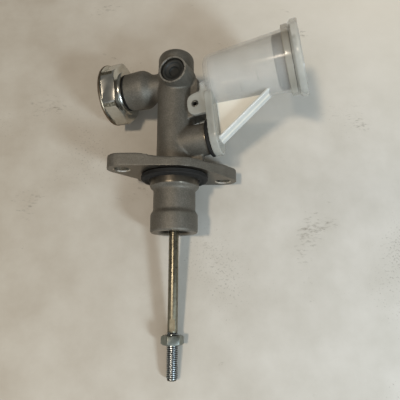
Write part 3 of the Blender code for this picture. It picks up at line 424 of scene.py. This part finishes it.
# Turned aluminium: the same metal cut clean, so it shines, with fine rings left by the
# tool. The real feed is about 0.1 mm a turn and is drawn at 0.5 mm.
machined, tree, shader, where = finish_of("machined_aluminium", Metallic=0.9)
centre = add(tree, "ShaderNodeMapping", {"Vector": where}, vector_type="TEXTURE")
centre.inputs["Location"].default_value = lay.translation
centre.inputs["Rotation"].default_value = lay.to_euler()
rings = add(tree, "ShaderNodeTexWave", {"Vector": centre.outputs["Vector"]}, wave_type="RINGS",
            rings_direction="Y", Scale=330, Distortion=0.6, Detail=2).outputs["Fac"]
blur = noise(tree, where, 260, 3)
both = add(tree, "ShaderNodeMix", {"A": rings, "B": blur}, Factor=0.55).outputs["Result"]
grey = shades(tree, both, (0.2, "#534e45"), (0.8, "#7a7368"))
tree.links.new(grey, shader.inputs["Base Color"])
tree.links.new(spread(tree, both, 0.28, 0.42), shader.inputs["Roughness"])
emboss(tree, shader, rings, strength=0.15, depth=0.05)

# Spot-faced aluminium: small faces that the cutter left almost mirror-bright.
bright = clouded("spot_faced_aluminium", 700, 3, (0.3, "#b3aea4"), (0.7, "#dcd8cf"),
                 rough=(0.2, 0.4), Metallic=1.0)


def dress(obj, finishes, body, *nodes):
    """Gives a finished piece its materials, its body and the CAD nodes that it stands for."""
    obj.data.materials.clear()
    for finish in finishes:
        obj.data.materials.append(finish)
    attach(obj, body)
    if nodes:
        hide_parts(*nodes)
    return obj


def polar(point):
    """Radius about z and height along it, in millimetres."""
    return math.hypot(point.x, point.y) / mm, point.z / mm


# The cutters' faces shine; the holes in the ears and the port's rim shine most.
dress(casting, [cast, machined, bright], "cylinder", "body_casting")
near = 0.05          # how far a face's centre may lie from the plane it was cut to
wall = 0.45          # and from a turned wall, whose facets lie inside the true circle
ear_face_r = ear_hole_r + 0.75
places = {"bore": on_bore.inverted(), "port": on_port.inverted(),
          "damper": on_damper.inverted(), "inlet": on_inlet.inverted(),
          "right ear": on_ears[0].inverted(), "left ear": on_ears[1].inverted()}
for polygon in casting.data.polygons:
    seen = {key: polar(inverse @ polygon.center) for key, inverse in places.items()}
    r, s = seen["bore"]
    cut_face = (
        (abs(s) < 1.2 * near and r > pilot_r)
        or (abs(r - pilot_r) < wall and pilot_end + 0.1 < s < 0.1)
        or (r < groove_r + 0.3 and snout_end < s < bore_end + 1)
        or abs(s - snout_end) < near
    )
    r, s = seen["port"]
    cut_face = cut_face or (r < 11 and s > 4 and (abs(s - port_top) < near or r < port_r + 0.52))
    r, s = seen["damper"]
    in_hole = r < damper_hole_r + 0.1 and s > 21
    cut_face = cut_face or (r < 16 and (abs(s - boss_end) < near or in_hole))
    r, s = seen["inlet"]
    in_hole = r < inlet_r + 0.1 and s > 14
    cut_face = cut_face or (r < 13 and (abs(s - seat_s) < near or in_hole))
    cut_face = cut_face or (11 < r < 12.6 and seat_s - 0.95 < s < seat_s)
    in_ear = min(seen["right ear"][0], seen["left ear"][0]) < ear_face_r
    on_rim = seen["port"][0] < 11 and abs(seen["port"][1] - port_top) < wall
    polygon.material_index = 2 if in_ear or on_rim else 1 if cut_face else 0


# ---------------------------------------------------------------- flange seal
# A moulded nitrile ring pushed over the pilot. It has two shallow grooves round its edge,
# and a slightly raised bead on the face that meets the panel.

# Moulded nitrile: almost black and matt, with a faint bloom that greys it in patches.
rubber, tree, shader, where = finish_of("moulded_nitrile_rubber", Roughness=0.75, IOR=1.42)
bloom = noise(tree, where, 300, 4)
black = shades(tree, bloom, (0.35, "#0c0b0a"), (0.7, "#181613"))
tree.links.new(black, shader.inputs["Base Color"])
emboss(tree, shader, bloom, strength=0.2, depth=0.2)

seal = lathe("flange_seal_ring", [
    (18.4, -0.3), (23.6, -0.3), (24.6, -0.7), (25, -1.3), (24.6, -1.8), (24.9, -2.3),
    (24.6, -2.8), (25, -3.3), (24.4, -4), (23.4, -4.3), (21.6, -4.3), (21.2, -4),
    (19.4, -4), (19.2, -4.3), (18.4, -4.3),
], on_bore, ring=True)
soften(seal, 0.15)
dress(smooth(seal, 40), [rubber], "cylinder", "flange_seal")


# ---------------------------------------------------------------- pulse damper
# A steel hexagon head with a round crimped rim, on a turned collar, screwed into its boss
# on a black gasket. It is barrel-plated in bright zinc, so it mirrors the room.

# Bright zinc on milled steel: a mirror with a slight haze and the dents of the barrel.
zinc, tree, shader, where = finish_of("bright_zinc_plate", Metallic=1.0)
cloud = noise(tree, where, 130, 4, 0.65)
silver = shades(tree, cloud, (0.3, "#b3b2ab"), (0.7, "#cdccc5"))
tree.links.new(silver, shader.inputs["Base Color"])
tree.links.new(spread(tree, cloud, 0.12, 0.2), shader.inputs["Roughness"])
emboss(tree, shader, noise(tree, where, 900, 2), strength=0.06, depth=0.1)

# The same zinc over a turned face, a little greyer and softer in its reflections.
turned_zinc = clouded("zinc_on_turned_steel", 260, 3, (0.3, "#a3a29b"), (0.7, "#c4c3bc"),
                      Metallic=1.0, Roughness=0.24)
# Zinc painted dark brown on the crimped rim's edge: a painted reflection of the dark floor beside
# it.
painted_reflection_rim_zinc = clouded("zinc_with_painted_dark_reflection_at_rim", 260, 3, (0.3, "#6d5f4e"), (0.7, "#8b7e6c"),
                  Metallic=1.0, Roughness=0.36)
# The rolled bar's own skin on the corners, speckled between the bright flats; its dark colour is
# partly a painted reflection.
bar_skin_and_painted_reflection = clouded("bar_skin_with_painted_dark_reflection", 700, 3, (0.35, "#4c483c"), (0.75, "#a39c88"),
                   Metallic=0.9, Roughness=0.42)

head_flats, bar_r, rim_r, hollow_r, stem_r = 44, 24.5, 24.4, 19.4, 9.7
gasket_s = boss_end + 0.3
collar_s = gasket_s + 1
hex_s = collar_s + 1.8
rim_s = hex_s + 11.4
end_s = rim_s + 2.2
gasket = lathe("damper_gasket_ring", [
    (14.5, gasket_s + 0.7), (14.5, gasket_s), (10.3, gasket_s), (10.3, gasket_s + 0.7),
], on_damper, ring=True)
soften(gasket, 0.15)
dress(smooth(gasket, 40), [rubber], "cylinder", "damper_gasket")


def hexagon(name, flats, low, high, chamfer, place, bar=100):
    """A prism cut from round bar of radius bar, with its corners turned down at both ends."""
    corner = flats / 2 / math.cos(math.pi / 6)
    bare()
    bpy.ops.mesh.primitive_cylinder_add(
        vertices=6, radius=corner * mm, depth=(high - low) * mm,
        location=(0, 0, (high + low) / 2 * mm), rotation=(0, 0, math.pi / 2))
    obj = fix(bpy.context.object)
    obj.name = name
    obj.matrix_world = place
    fix(obj)
    # The turned cone starts just inside the flats, so its edge is a full circle there.
    face = flats / 2 - 0.3
    slope = (corner - face) / chamfer
    outer = min(bar, corner + 0.3 * slope)
    drop = (outer - face) / slope
    cone = lathe("cone", [
        (0, high + 0.5), (face - 0.5 * slope, high + 0.5), (outer, high - drop),
        (outer, low + drop), (face - 0.5 * slope, low - 0.5), (0, low - 0.5),
    ], place)
    return cut(obj, cone, operation="INTERSECT")


head = hexagon("damper_head", head_flats, hex_s, rim_s + 0.5, chamfer=1.6,
               place=on_damper @ turned(17), bar=bar_r)
rim = lathe("damper_rim", [
    (hollow_r, end_s), (23.3, end_s), (24.1, end_s - 0.3), (rim_r, end_s - 1),
    (rim_r, rim_s + 0.5), (24, rim_s), (20, rim_s - 0.4), (hollow_r, rim_s),
], on_damper, ring=True)
collar = lathe("damper_collar", [
    (17.3, hex_s + 0.3), (17.3, collar_s + 0.7), (16.7, collar_s), (stem_r, collar_s),
    (stem_r, 25.3), (stem_r - 1, 24.3), (3, 24.3), (3, hex_s + 0.3),
], on_damper, ring=True)
cut(head, rim, collar, operation="UNION")
cut(head, drill("cavity", on_damper, (hollow_r, end_s + 1), (hollow_r, end_s - 4.2),
                (16.4, end_s - 4.2), (16.4, hex_s + 2), (3, hex_s + 2), (3, 24)))
head.name = "damper_housing_plated"
soften(head, 0.22, degrees=35)
dress(smooth(head, 35), [zinc, turned_zinc, painted_reflection_rim_zinc, bar_skin_and_painted_reflection], "cylinder", "damper_housing")
inverse = on_damper.inverted()
for polygon in head.data.polygons:
    r, s = polar(inverse @ polygon.center)
    on_collar = s < hex_s - 0.02 and r > 16
    # the crimped rim's edge carries the painted dark reflection
    on_crimp = s > rim_s + 0.1 and r > 23.5
    # the corner strips' dark colour is partly a painted reflection
    on_corner = hex_s + 0.8 < s < rim_s - 0.3 and r > bar_r - 0.5
    polygon.material_index = 1 if on_collar else 2 if on_crimp else 3 if on_corner else 0

cover = lathe("damper_cover_pressed", [
    (0, end_s - 0.5), (10.5, end_s - 0.5), (12.4, end_s - 0.1), (18, end_s - 0.1),
    (18.9, end_s - 0.4), (19.1, end_s - 2.4), (13.4, end_s - 2.4), (11.5, end_s - 1.7),
    (0, end_s - 1.7),
], on_damper)
soften(cover, 0.3, segments=3, degrees=12)
dress(smooth(cover, 40), [zinc], "cylinder", "damper_cover")


# ---------------------------------------------------------------- port plug
# A soft charcoal plug pressed into the outlet keeps dirt out until a pipe is fitted. It is
# hollow, with a rounded lip and a second, deeper step.

# Moulded PVC: charcoal, satin, and a shade lighter where dust clings to it.
charcoal = clouded("charcoal_moulded_pvc", 500, 3, (0.3, "#191917"), (0.75, "#262622"),
                   Roughness=0.6, IOR=1.45)
plug = lathe("port_plug_moulded", [
    (0, 15.6), (3.4, 15.6), (3.8, 16.2), (3.9, 17.4), (4.6, 17.8), (5.8, 17.9), (6.4, 18.4),
    (6.6, 19), (7.3, 19.3), (8.4, 19.3), (8.9, 18.8), (8.9, 14.8), (5.1, 14.8), (5.1, 14.6),
    (4.6, 14.4), (0, 14.4),
], on_port)
dress(smooth(plug, 50), [charcoal], "plug", "port_plug")


# ---------------------------------------------------------------- reservoir
# Injection-moulded polypropylene, milky and about 1.8 mm thick, so the dark bellows and
# the table show through it. Tank, leg, two pinned ears, gusset and rib are one moulding.

tank_q, base_s, mouth_s, lip_t, lip_r, wall_t = 46.5, 33.3, 91.5, 5, 25.4, 1.8
leg_s = inlet_end + 1.9          # the leg stands on the grommet's flange
leg_r, leg_t, leg_top, leg_corner = 14.3, 6, tank_q - 13, 5
taper = 3.4                      # how much the tank widens from base to mouth
ear_z, ear_t, ear_bend = 9.2, 4, 6
web_t, rib_t, rib_width = 1.8, 1.8, 14
inner_corner = 3.2               # radius between the tank's wall and its floor
in_tank = Matrix((to_tank, across, (0, 0, 1))).transposed().to_4x4()
in_leg = Matrix(((0, 0, 1), across, tuple(-c for c in to_tank))).transposed().to_4x4()
on_tank = set_up(tank_q * across[0], inlet_y + tank_q * across[1], 0, to_tank)
side_plane = lay @ moved(0, inlet_y, 0) @ in_tank
leg_middle = Vector((0, inlet_y, 0)) + Vector(to_tank) * (leg_s + leg_t / 2)
leg_plane = lay @ moved(*leg_middle) @ in_leg

tank = lathe("tank", [
    (0, mouth_s + lip_t), (lip_r, mouth_s + lip_t), (lip_r, mouth_s), (22.7, mouth_s - 0.2),
    *arc((13.3, base_s + 4), 6, 0, -90, 9), (0, base_s - 2),
], on_tank)
leg = plate("leg", [
    *arc((0, 0), leg_r, 180, 360, 25),
    *arc((leg_r - leg_corner, leg_top - leg_corner), leg_corner, 0, 90, 6),
    *arc((leg_corner - leg_r, leg_top - leg_corner), leg_corner, 90, 180, 6),
], leg_t, leg_plane)
spigot = lathe("spigot", [
    (0, leg_s + 3), (5.6, leg_s + 3), (5.6, 16.2), (5, 15.6), (0, 15.6),
], on_inlet, 64)
moulding = [tank, leg, spigot]
pin_offset = Vector((pin_x, pin_y - inlet_y, 0))
ear_q = pin_offset.dot(Vector(across))
ear_s = pin_offset.dot(Vector(to_tank)) - 6.2
ear_line = [
    (base_s + 0.9, ear_q + 16.5), *arc((ear_s + 12.2, ear_q + 15), 1.5, 90, 180, 4),
    (ear_s + 10.7, ear_q + 9.6), *arc((ear_s + ear_bend, ear_q + 2.5), ear_bend, 100, 180, 9),
    *arc((ear_s + ear_bend, ear_q - 2.5), ear_bend, 180, 270, 9), (base_s + 0.9, ear_q - 8.5),
]
for height in (-ear_z, ear_z):
    moulding.append(plate("ear", ear_line, ear_t, side_plane @ moved(0, 0, height)))
low, high = Vector((37.5, -1.5)), Vector((73.5, 24.5))
along = (high - low).normalized()
outward = Vector((along.y, -along.x)) * rib_t
moulding.append(plate("gusset", [
    (leg_s + 2, low.y), tuple(low), tuple(high), (high.x, 33), (leg_s + 2, 33),
], web_t, side_plane))
start, end = low - along * 2.5, high + along * 4
moulding.append(plate("edge_rib", [
    tuple(start), tuple(start + outward), tuple(end + outward), tuple(end),
], rib_width, side_plane))
reservoir = melt("reservoir_moulding", moulding, voxel=0.55, rounds=6)
floor_s = base_s + wall_t
cut(
    reservoir,
    lathe("tank_core", [
        (0, mouth_s + lip_t + 2), (20.8, mouth_s + lip_t + 2), (20.8, mouth_s),
        *arc((14.2, floor_s + inner_corner), inner_corner, 0, -90, 6), (0, floor_s),
    ], on_tank),
    drill("spigot_core", on_inlet, (4, leg_s + 3.4), (4, 15)),
    plate("channel_core", [
        *arc((0, 0), 4, 180, 360, 13), (4, tank_q - 12.2), (-4, tank_q - 12.2),
    ], 3.3, leg_plane @ moved(0, 0, -0.45)),
    drill("ear_core", on_pin, (pin_r + 0.3, 16), (pin_r + 0.3, -16)),
)


def wall_r(s):
    """Just inside the tank's outer radius, which grows from its base to its mouth."""
    return 19.2 + taper * (s - base_s) / (mouth_s - base_s)


def moulded(name, see_through, low, high):
    """Injection-moulded polypropylene: cloudy flow marks, a faint orange peel, a waxy gloss."""
    made, tree, shader, where = finish_of(name, Roughness=0.15, IOR=1.49, Alpha=1 - see_through)
    flow = shades(tree, noise(tree, where, 45, 3), (0.3, low), (0.7, high))
    tree.links.new(flow, shader.inputs["Base Color"])
    emboss(tree, shader, noise(tree, where, 420, 2), strength=0.08, depth=0.3)
    return made


# The thin wall is the clearest and whitest. The leg, with the casting behind it, is painted
# greyer as painted shade;
# the lip, where two walls overlap, looks greyer; the web and rib are painted white as painted
# light shining through them.
milky = moulded("milky_polypropylene_wall", 0.7, "#c5c4be", "#d8d7d1")
leg_plastic_painted_shade = moulded("milky_polypropylene_leg_painted_shade", 0.5, "#b0afa5", "#c2c1b8")
web_plastic_painted_light = moulded("milky_polypropylene_web_painted_light", 0.2, "#ece6d8", "#f8f3e7")
lip_plastic = moulded("milky_polypropylene_lip", 0.5, "#aba79a", "#bdb9ad")
rib_plastic_painted_light = moulded("milky_polypropylene_rib_painted_light", 0.3, "#d2d3ce", "#e4e5e1")
zones = [milky, leg_plastic_painted_shade, web_plastic_painted_light, lip_plastic, rib_plastic_painted_light]
dress(smooth(reservoir, 45), zones, "cylinder", "reservoir_body")
inverse = on_tank.inverted()
for polygon in reservoir.data.polygons:
    point = inverse @ polygon.center
    r, s = polar(point)
    beyond_wall = r > wall_r(s) + 1
    if s > mouth_s - 0.3:
        polygon.material_index = zones.index(lip_plastic)
    elif beyond_wall and s > leg_s + leg_t + 0.3:
        in_web = abs(point.x) / mm < 1.5
        # web and rib faces get the painted light
        polygon.material_index = zones.index(web_plastic_painted_light if in_web else rib_plastic_painted_light)
    elif beyond_wall or (s < base_s - 0.4 and point.y / mm > 10):
        # leg faces get the painted shade
        polygon.material_index = zones.index(leg_plastic_painted_shade)


# ---------------------------------------------------------------- level marks
# Two short raised ticks on the tank's front side, moulded with it. The wall tapers, so the
# radius at which each one lies depends on its height.

for number, (s, turn) in enumerate(((57.5, 59), (71, 44)), 1):
    tick = plate("level_mark_%d" % number, [
        (-0.4, -2.8), (0.4, -2.8), (0.4, 2.8), (-0.4, 2.8),
    ], 0.8, on_tank @ turned(turn) @ moved(wall_r(s), 0, s) @ turned(90, "Y"))
    soften(tick, 0.2)
    dress(smooth(tick), [milky], "cylinder")


# ---------------------------------------------------------------- reservoir cap and bellows
# The cap is a thicker, more opaque moulding with a dished top. It holds down a dark rubber
# bellows that keeps air off the fluid and hangs almost 8 mm into the tank.

cream = moulded("milky_polypropylene_cap", 0.55, "#b7b6ad", "#c8c8c0")
lip_s = mouth_s + lip_t
cap_low = lip_s + 1.6
cap_top = cap_low + 5.4
cap = lathe("reservoir_cap_moulded", [
    (0, cap_top - 1), (19.4, cap_top - 1), (20.8, cap_top), (26.4, cap_top),
    (27.2, cap_top - 0.4), (27.5, cap_top - 1.3), (27.5, cap_low + 0.6), (27.1, cap_low),
    (25.3, cap_low - 1.4), (24.3, cap_low - 1.4), (24.3, cap_low), (18.2, cap_low),
    (18.2, cap_low - 7), (16.6, cap_low - 7), (16.6, cap_top - 2.6), (0, cap_top - 2.6),
], on_tank, 128)
dress(smooth(cap, 40), [cream], "cap", "reservoir_cap")

# Moulded rubber, bluish black, so the milky wall in front of it turns grey.
bellow = clouded("bellows_rubber", 200, 3, (0.3, "#15171a"), (0.7, "#26282a"),
                 Roughness=0.6, IOR=1.5)
bellows = lathe("cap_bellows_moulded", [
    (23.9, lip_s + 1.2), (23.9, lip_s + 0.4), (20.5, lip_s + 0.4), (20.5, mouth_s),
    *arc((17.9, mouth_s - 5.5), 2.2, 0, -90, 8),
    (13, mouth_s - 7.7), (12.4, mouth_s - 5), (0, mouth_s - 5), (0, mouth_s - 3.8),
    (13.4, mouth_s - 3.8), (14, mouth_s - 6.5), *arc((17.9, mouth_s - 5.5), 1, -90, 0, 5),
    (19.3, mouth_s), (19.3, lip_s + 1.2),
], on_tank, ring=True)
dress(smooth(bellows, 50), [bellow], "cap", "cap_bellows")


# ---------------------------------------------------------------- grommet and roll pin
# The grommet is a nitrile bush in the inlet boss; its flange shows as a black crescent
# under the leg. The roll pin is a curled strip of dark oiled spring steel.

grommet = lathe("inlet_grommet", [
    (13.7, inlet_end + 1.6), (14.2, inlet_end + 1.3), (14.2, seat_s + 0.5),
    (13.7, seat_s + 0.1), (7.7, seat_s + 0.1), (7.7, 17.3), (6.7, 15.3), (5.9, 15.3),
    (5.9, inlet_end + 1.6),
], on_inlet, ring=True)
dress(smooth(grommet, 40), [rubber], "cylinder", "reservoir_grommet")

# Oiled spring steel: dark grey, shiny in patches where the oil lies thicker.
oiled = clouded("oiled_spring_steel", 700, 3, (0.3, "#4b4a46"), (0.7, "#85847e"),
                rough=(0.25, 0.5), Metallic=0.9)
pin_length = lug_t + 8.8         # through the lug and both ears
pin_wall, slit = 0.9, 14
pin = plate("roll_pin_curled", [
    *arc((0, 0), pin_r, 35 + slit, 395 - slit, 40),
    *arc((0, 0), pin_r - pin_wall, 395 - slit, 35 + slit, 40),
], pin_length, on_pin)
soften(pin, 0.12, degrees=50)
dress(smooth(pin, 35), [oiled], "cylinder", "roll_pin")


# ---------------------------------------------------------------- push rod and lock nut
# An 8 mm steel rod, zinc plated: ball and shoulder in the piston, a plain shank with two
# wrench flats, and a rolled M8 x 1.25 thread. The nut is duller, with a slight green tint.

ball_r, shoulder_r, shoulder_y = 6.2, 5.8, -33.7
shank_r, thread_r, root_r, pitch = 3.55, 4, 3.3, 1.25
thread_y, tip_y = -112.5, -144
rod = lathe("push_rod_plated", [
    *((r, y + ball_y) for r, y in arc((0, 0), ball_r, 90, -30, 13)),
    (shoulder_r, -29.6), (shoulder_r, shoulder_y), (shank_r, shoulder_y),
    (shank_r, thread_y + 0.5), (root_r, thread_y), (root_r, tip_y + 0.5),
    (root_r - 0.5, tip_y), (0, tip_y),
], on_bore, 64)
flat_side = lay.to_3x3().inverted() @ Vector((0, 0, 1))
flat_gap, flat_length = 6, 8     # across the two wrench flats, and along the rod
for side in (-1, 1):
    bare()
    bpy.ops.mesh.primitive_cube_add(size=1)
    block = bpy.context.object
    block.matrix_world = (
        set_up(0, thread_y + 5, 0, (0, 1, 0), flat_side)
        @ moved(side * (flat_gap + 7.1) / 2, 0, 0)
        @ Matrix.Diagonal((7.1 * mm, 14 * mm, flat_length * mm, 1)))
    cut(rod, fix(block))
crest_r = thread_r - 0.1
thread = wire("thread", [
    (root_r - 0.4, 0, 0), (root_r, 0, 0.1), (crest_r, 0, 0.34), (thread_r, 0, 0.44),
    (thread_r, 0, 0.81), (crest_r, 0, 0.91), (root_r, 0, 1.15), (root_r - 0.4, 0, pitch),
])
bpy.ops.object.mode_set(mode="OBJECT")
turns = int((thread_y - tip_y - 1.2) / pitch)
apply(thread, "SCREW", steps=40, render_steps=40, screw_offset=pitch * mm, iterations=turns,
      axis="Z")
bpy.ops.object.mode_set(mode="EDIT")
settle(thread, on_bore @ moved(0, 0, tip_y + 0.7))
pick(rod)
thread.select_set(True)
bpy.ops.object.join()

# Drawn steel under thin zinc, slightly yellow; the light runs down it as a line, which
# fades towards the thread, where the rod has been handled.
drawn, tree, shader, where = finish_of("thin_zinc_on_drawn_steel", Metallic=1.0)
streak = noise(tree, where, 420, 4)
yellowed = shades(tree, streak, (0.3, "#6b6658"), (0.7, "#898473"))
tree.links.new(yellowed, shader.inputs["Base Color"])
lengthwise = add(tree, "ShaderNodeSeparateXYZ", {"Vector": where}).outputs["Y"]
handled = spread(tree, lengthwise, 0, 0.25, start=-0.05, end=-0.09)
rough = reckon(tree, "ADD", spread(tree, streak, 0.22, 0.36), handled)
tree.links.new(rough, shader.inputs["Roughness"])

# Painted highlight and shade: the rolled crests are painted bright and cool, the roots painted
# dark, so the thread's ridges show.
painted_highlight_crests = clouded("thread_crests_painted_highlight", 600, 2, (0.3, "#979fa1"), (0.7, "#c3cacc"),
                Metallic=1.0, Roughness=0.3)
painted_shade_roots = clouded("thread_roots_painted_shade", 600, 2, (0.3, "#262625"), (0.7, "#363533"),
               Roughness=0.35)
dress(smooth(rod, 30), [drawn, painted_highlight_crests, painted_shade_roots], "push_rod", "push_rod")
inverse = on_bore.inverted()
for polygon in rod.data.polygons:
    r, s = polar(inverse @ polygon.center)
    if tip_y + 0.8 < s < thread_y:
        # crest faces get the painted highlight, root and flank faces the painted shade
        polygon.material_index = 1 if r > crest_r else 2

# Dull zinc: a grey that patina has dimmed and tinted green, with soft reflections.
dulled = clouded("dull_zinc_plate", 380, 4, (0.3, "#72766f"), (0.7, "#90958f"),
                 rough=(0.26, 0.42), Metallic=0.85)
nut_flats, nut_half = 14, 3.25
nut_place = set_up(0, -117.6, 0, (0, 1, 0), flat_side) @ turned(40)
nut = hexagon("lock_nut_plated", nut_flats, -nut_half, nut_half, chamfer=1.1, place=nut_place)
cut(nut, drill("nut_drill", nut_place, (5.2, 4), (4.3, 2.6), (4.3, -2.6), (5.2, -4)))
soften(nut, 0.18, degrees=35)
dress(smooth(nut, 35), [dulled], "lock_nut", "lock_nut")


# ---------------------------------------------------------------- inside the bore
# The casting hides piston, cups, washers, snap ring and the flare seat in the outlet, so
# they keep the CAD's shapes and only get finishes. The return spring is wound anew.

# Hard anodising: a dark satin grey. Pressed steel: grey and plain. Brass: warm yellow.
anodised = clouded("hard_anodised_aluminium", 300, 3, (0.3, "#77756f"), (0.7, "#92908a"),
                   Metallic=0.8, Roughness=0.4)
steel = clouded("pressed_steel", 400, 3, (0.3, "#6d6b67"), (0.7, "#94928d"),
                Metallic=1.0, Roughness=0.35)
brass = clouded("turned_brass", 400, 3, (0.3, "#a8864a"), (0.7, "#c7a55f"),
                Metallic=1.0, Roughness=0.3)
inner = {
    "piston": anodised, "primary_cup": rubber, "secondary_cup": rubber, "cup_shim": steel,
    "spring_seat": steel, "stop_washer": steel, "snap_ring": oiled, "outlet_seat": brass,
    "damper_diaphragm": rubber,
}
for name, finish in inner.items():
    frame["nodes"][name].data.materials[0] = finish

# The return spring is wound from 1.6 mm wire with its end turns laid close,
# between its seat and the closed end of the bore.
coil_r, wire_r, coils = 7.3, 0.8, 8
crowding = 0.07                  # how far the end turns are drawn together
spring_low, spring_high, stroke = 23.9, 87.7, 32
spring = wire("return_spring_wound", [
    (coil_r + x, 0, z) for x, z in arc((0, 0), wire_r, 0, 360, 13)
])
bpy.ops.object.mode_set(mode="OBJECT")
free = spring_high - spring_low - 2 * wire_r
apply(spring, "SCREW", steps=28, render_steps=28, screw_offset=free / coils * mm,
      iterations=coils, axis="Z")
for vertex in spring.data.vertices:
    share = min(max(vertex.co.z / mm / free, 0), 1)
    vertex.co.z -= crowding * math.sin(2 * math.pi * share) * free * mm
bpy.ops.object.mode_set(mode="EDIT")
bpy.ops.mesh.select_all(action="SELECT")
bpy.ops.mesh.remove_doubles(threshold=0.001 * mm)
bpy.ops.mesh.fill_holes(sides=0)
settle(spring, on_bore @ moved(0, 0, spring_low + wire_r))
dress(smooth(spring, 50), [steel], "cylinder", "return_spring")
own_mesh(spring)


# ---------------------------------------------------------------- table, light and camera
# A pale painted table top under plain light: a warm lamp high on the left, a cooler window
# at the front right and a dim room, which together light a colour about as it is written.

bare()
bpy.ops.mesh.primitive_plane_add(size=12, location=(0, 0, cad_box[0][2] - 0.02 * mm))
table = bpy.context.object
table.name = "table_top"


def over(tree, base, share, top):
    """Covers a colour with another as far as the share goes."""
    node = add(tree, "ShaderNodeMix", {"Factor": share, "A": base}, data_type="RGBA")
    if isinstance(top, str):
        node.inputs["B"].default_value = paint(top)
    else:
        tree.links.new(top, node.inputs["B"])
    return node.outputs["Result"]


# Painted board: an off-white coat with faint blotches, slanting scuffs and a sprinkling of fine
# grit.
# It is painted browner on the left and lighter at the far right: painted light from the lamps'
# fall-off.
painted, tree, shader, where = finish_of("painted_board", Roughness=0.55, IOR=1.45)
split = add(tree, "ShaderNodeSeparateXYZ", {"Vector": where})
# painted light: the coat is painted darker and browner to the left, lighter to the right
painted_light_across = spread(tree, split.outputs["X"], 0, 1, start=-0.16, end=0.16)
painted_light_far_right = spread(tree, split.outputs["Y"], 0, 0.75, start=0.02, end=0.24)
blotch = noise(tree, where, 24, 6, 0.6)
coat_and_painted_light = over(tree, shades(tree, blotch, (0.3, "#b1a798"), (0.7, "#c2bbae")), painted_light_across,
            shades(tree, blotch, (0.3, "#c3c0b8"), (0.7, "#d3d0ca")))
# a painted pool of light at the far right
coat_and_painted_light = over(tree, coat_and_painted_light, reckon(tree, "MULTIPLY", painted_light_far_right, painted_light_across), "#f2eadb")
slanted = add(tree, "ShaderNodeMapping", {"Vector": where})
slanted.inputs["Rotation"].default_value = (0, 0, 0.5)
slanted.inputs["Scale"].default_value = (1, 2.5, 1)
scuffs = reckon(tree, "ADD", noise(tree, slanted.outputs["Vector"], 150, 6, 0.75),
                noise(tree, where, 17, 2))
coat_and_painted_light = over(tree, coat_and_painted_light, spread(tree, scuffs, 0, 1, start=1.21, end=1.42), "#857e72")
grit = reckon(tree, "ADD", noise(tree, where, 620, 2), noise(tree, where, 9, 1))
coat_and_painted_light = over(tree, coat_and_painted_light, spread(tree, grit, 0, 0.4, start=1.27, end=1.4), "#6f695f")
tree.links.new(coat_and_painted_light, shader.inputs["Base Color"])
table.data.materials.append(painted)


def lamp(name, position, width, height, power, colour):
    """A flat lamp that shines at the middle of the cylinder."""
    data = bpy.data.lights.new(name, "AREA")
    data.shape = "RECTANGLE"
    data.size = width
    data.size_y = height
    data.energy = power
    data.color = colour
    obj = bpy.data.objects.new(name, data)
    bpy.context.scene.collection.objects.link(obj)
    obj.location = position
    aim = Vector((0, 0.02, 0.02)) - Vector(position)
    obj.rotation_euler = aim.to_track_quat("-Z", "Y").to_euler()


lamp("warm_lamp", (-1.02, -0.62, 2.75), width=0.38, height=0.18, power=36,
     colour=(1.0, 0.85, 0.68))
lamp("cool_window", (0.55, -0.55, 0.55), width=0.16, height=0.16, power=5.6,
     colour=(0.74, 0.89, 1.0))

# The room is grey, and paler towards the viewer, where the walls are lit.
world = bpy.data.worlds.new("room")
bpy.context.scene.world = world
world.use_nodes = True
tree = world.node_tree
direction = add(tree, "ShaderNodeTexCoord").outputs["Generated"]
depth = add(tree, "ShaderNodeSeparateXYZ", {"Vector": direction}).outputs["Y"]
room = shades(tree, spread(tree, depth, 0, 1, start=0, end=-1),
              (0.0, "#74736f"), (0.3, "#74736f"), (0.6, "#dde4ea"))
tree.links.new(room, tree.nodes["Background"].inputs["Color"])

lens = bpy.data.cameras.new("view")
lens.lens = 38.61
lens.sensor_width = 36
lens.clip_start = 0.01
camera = bpy.data.objects.new("view", lens)
bpy.context.scene.collection.objects.link(camera)
camera.location = (0.004538, -0.11657, 0.318957)
camera.rotation_euler = [math.radians(angle) for angle in (21.8893, 1.0968, 0.2613)]
bpy.context.scene.camera = camera
bpy.context.scene.view_settings.view_transform = "Standard"
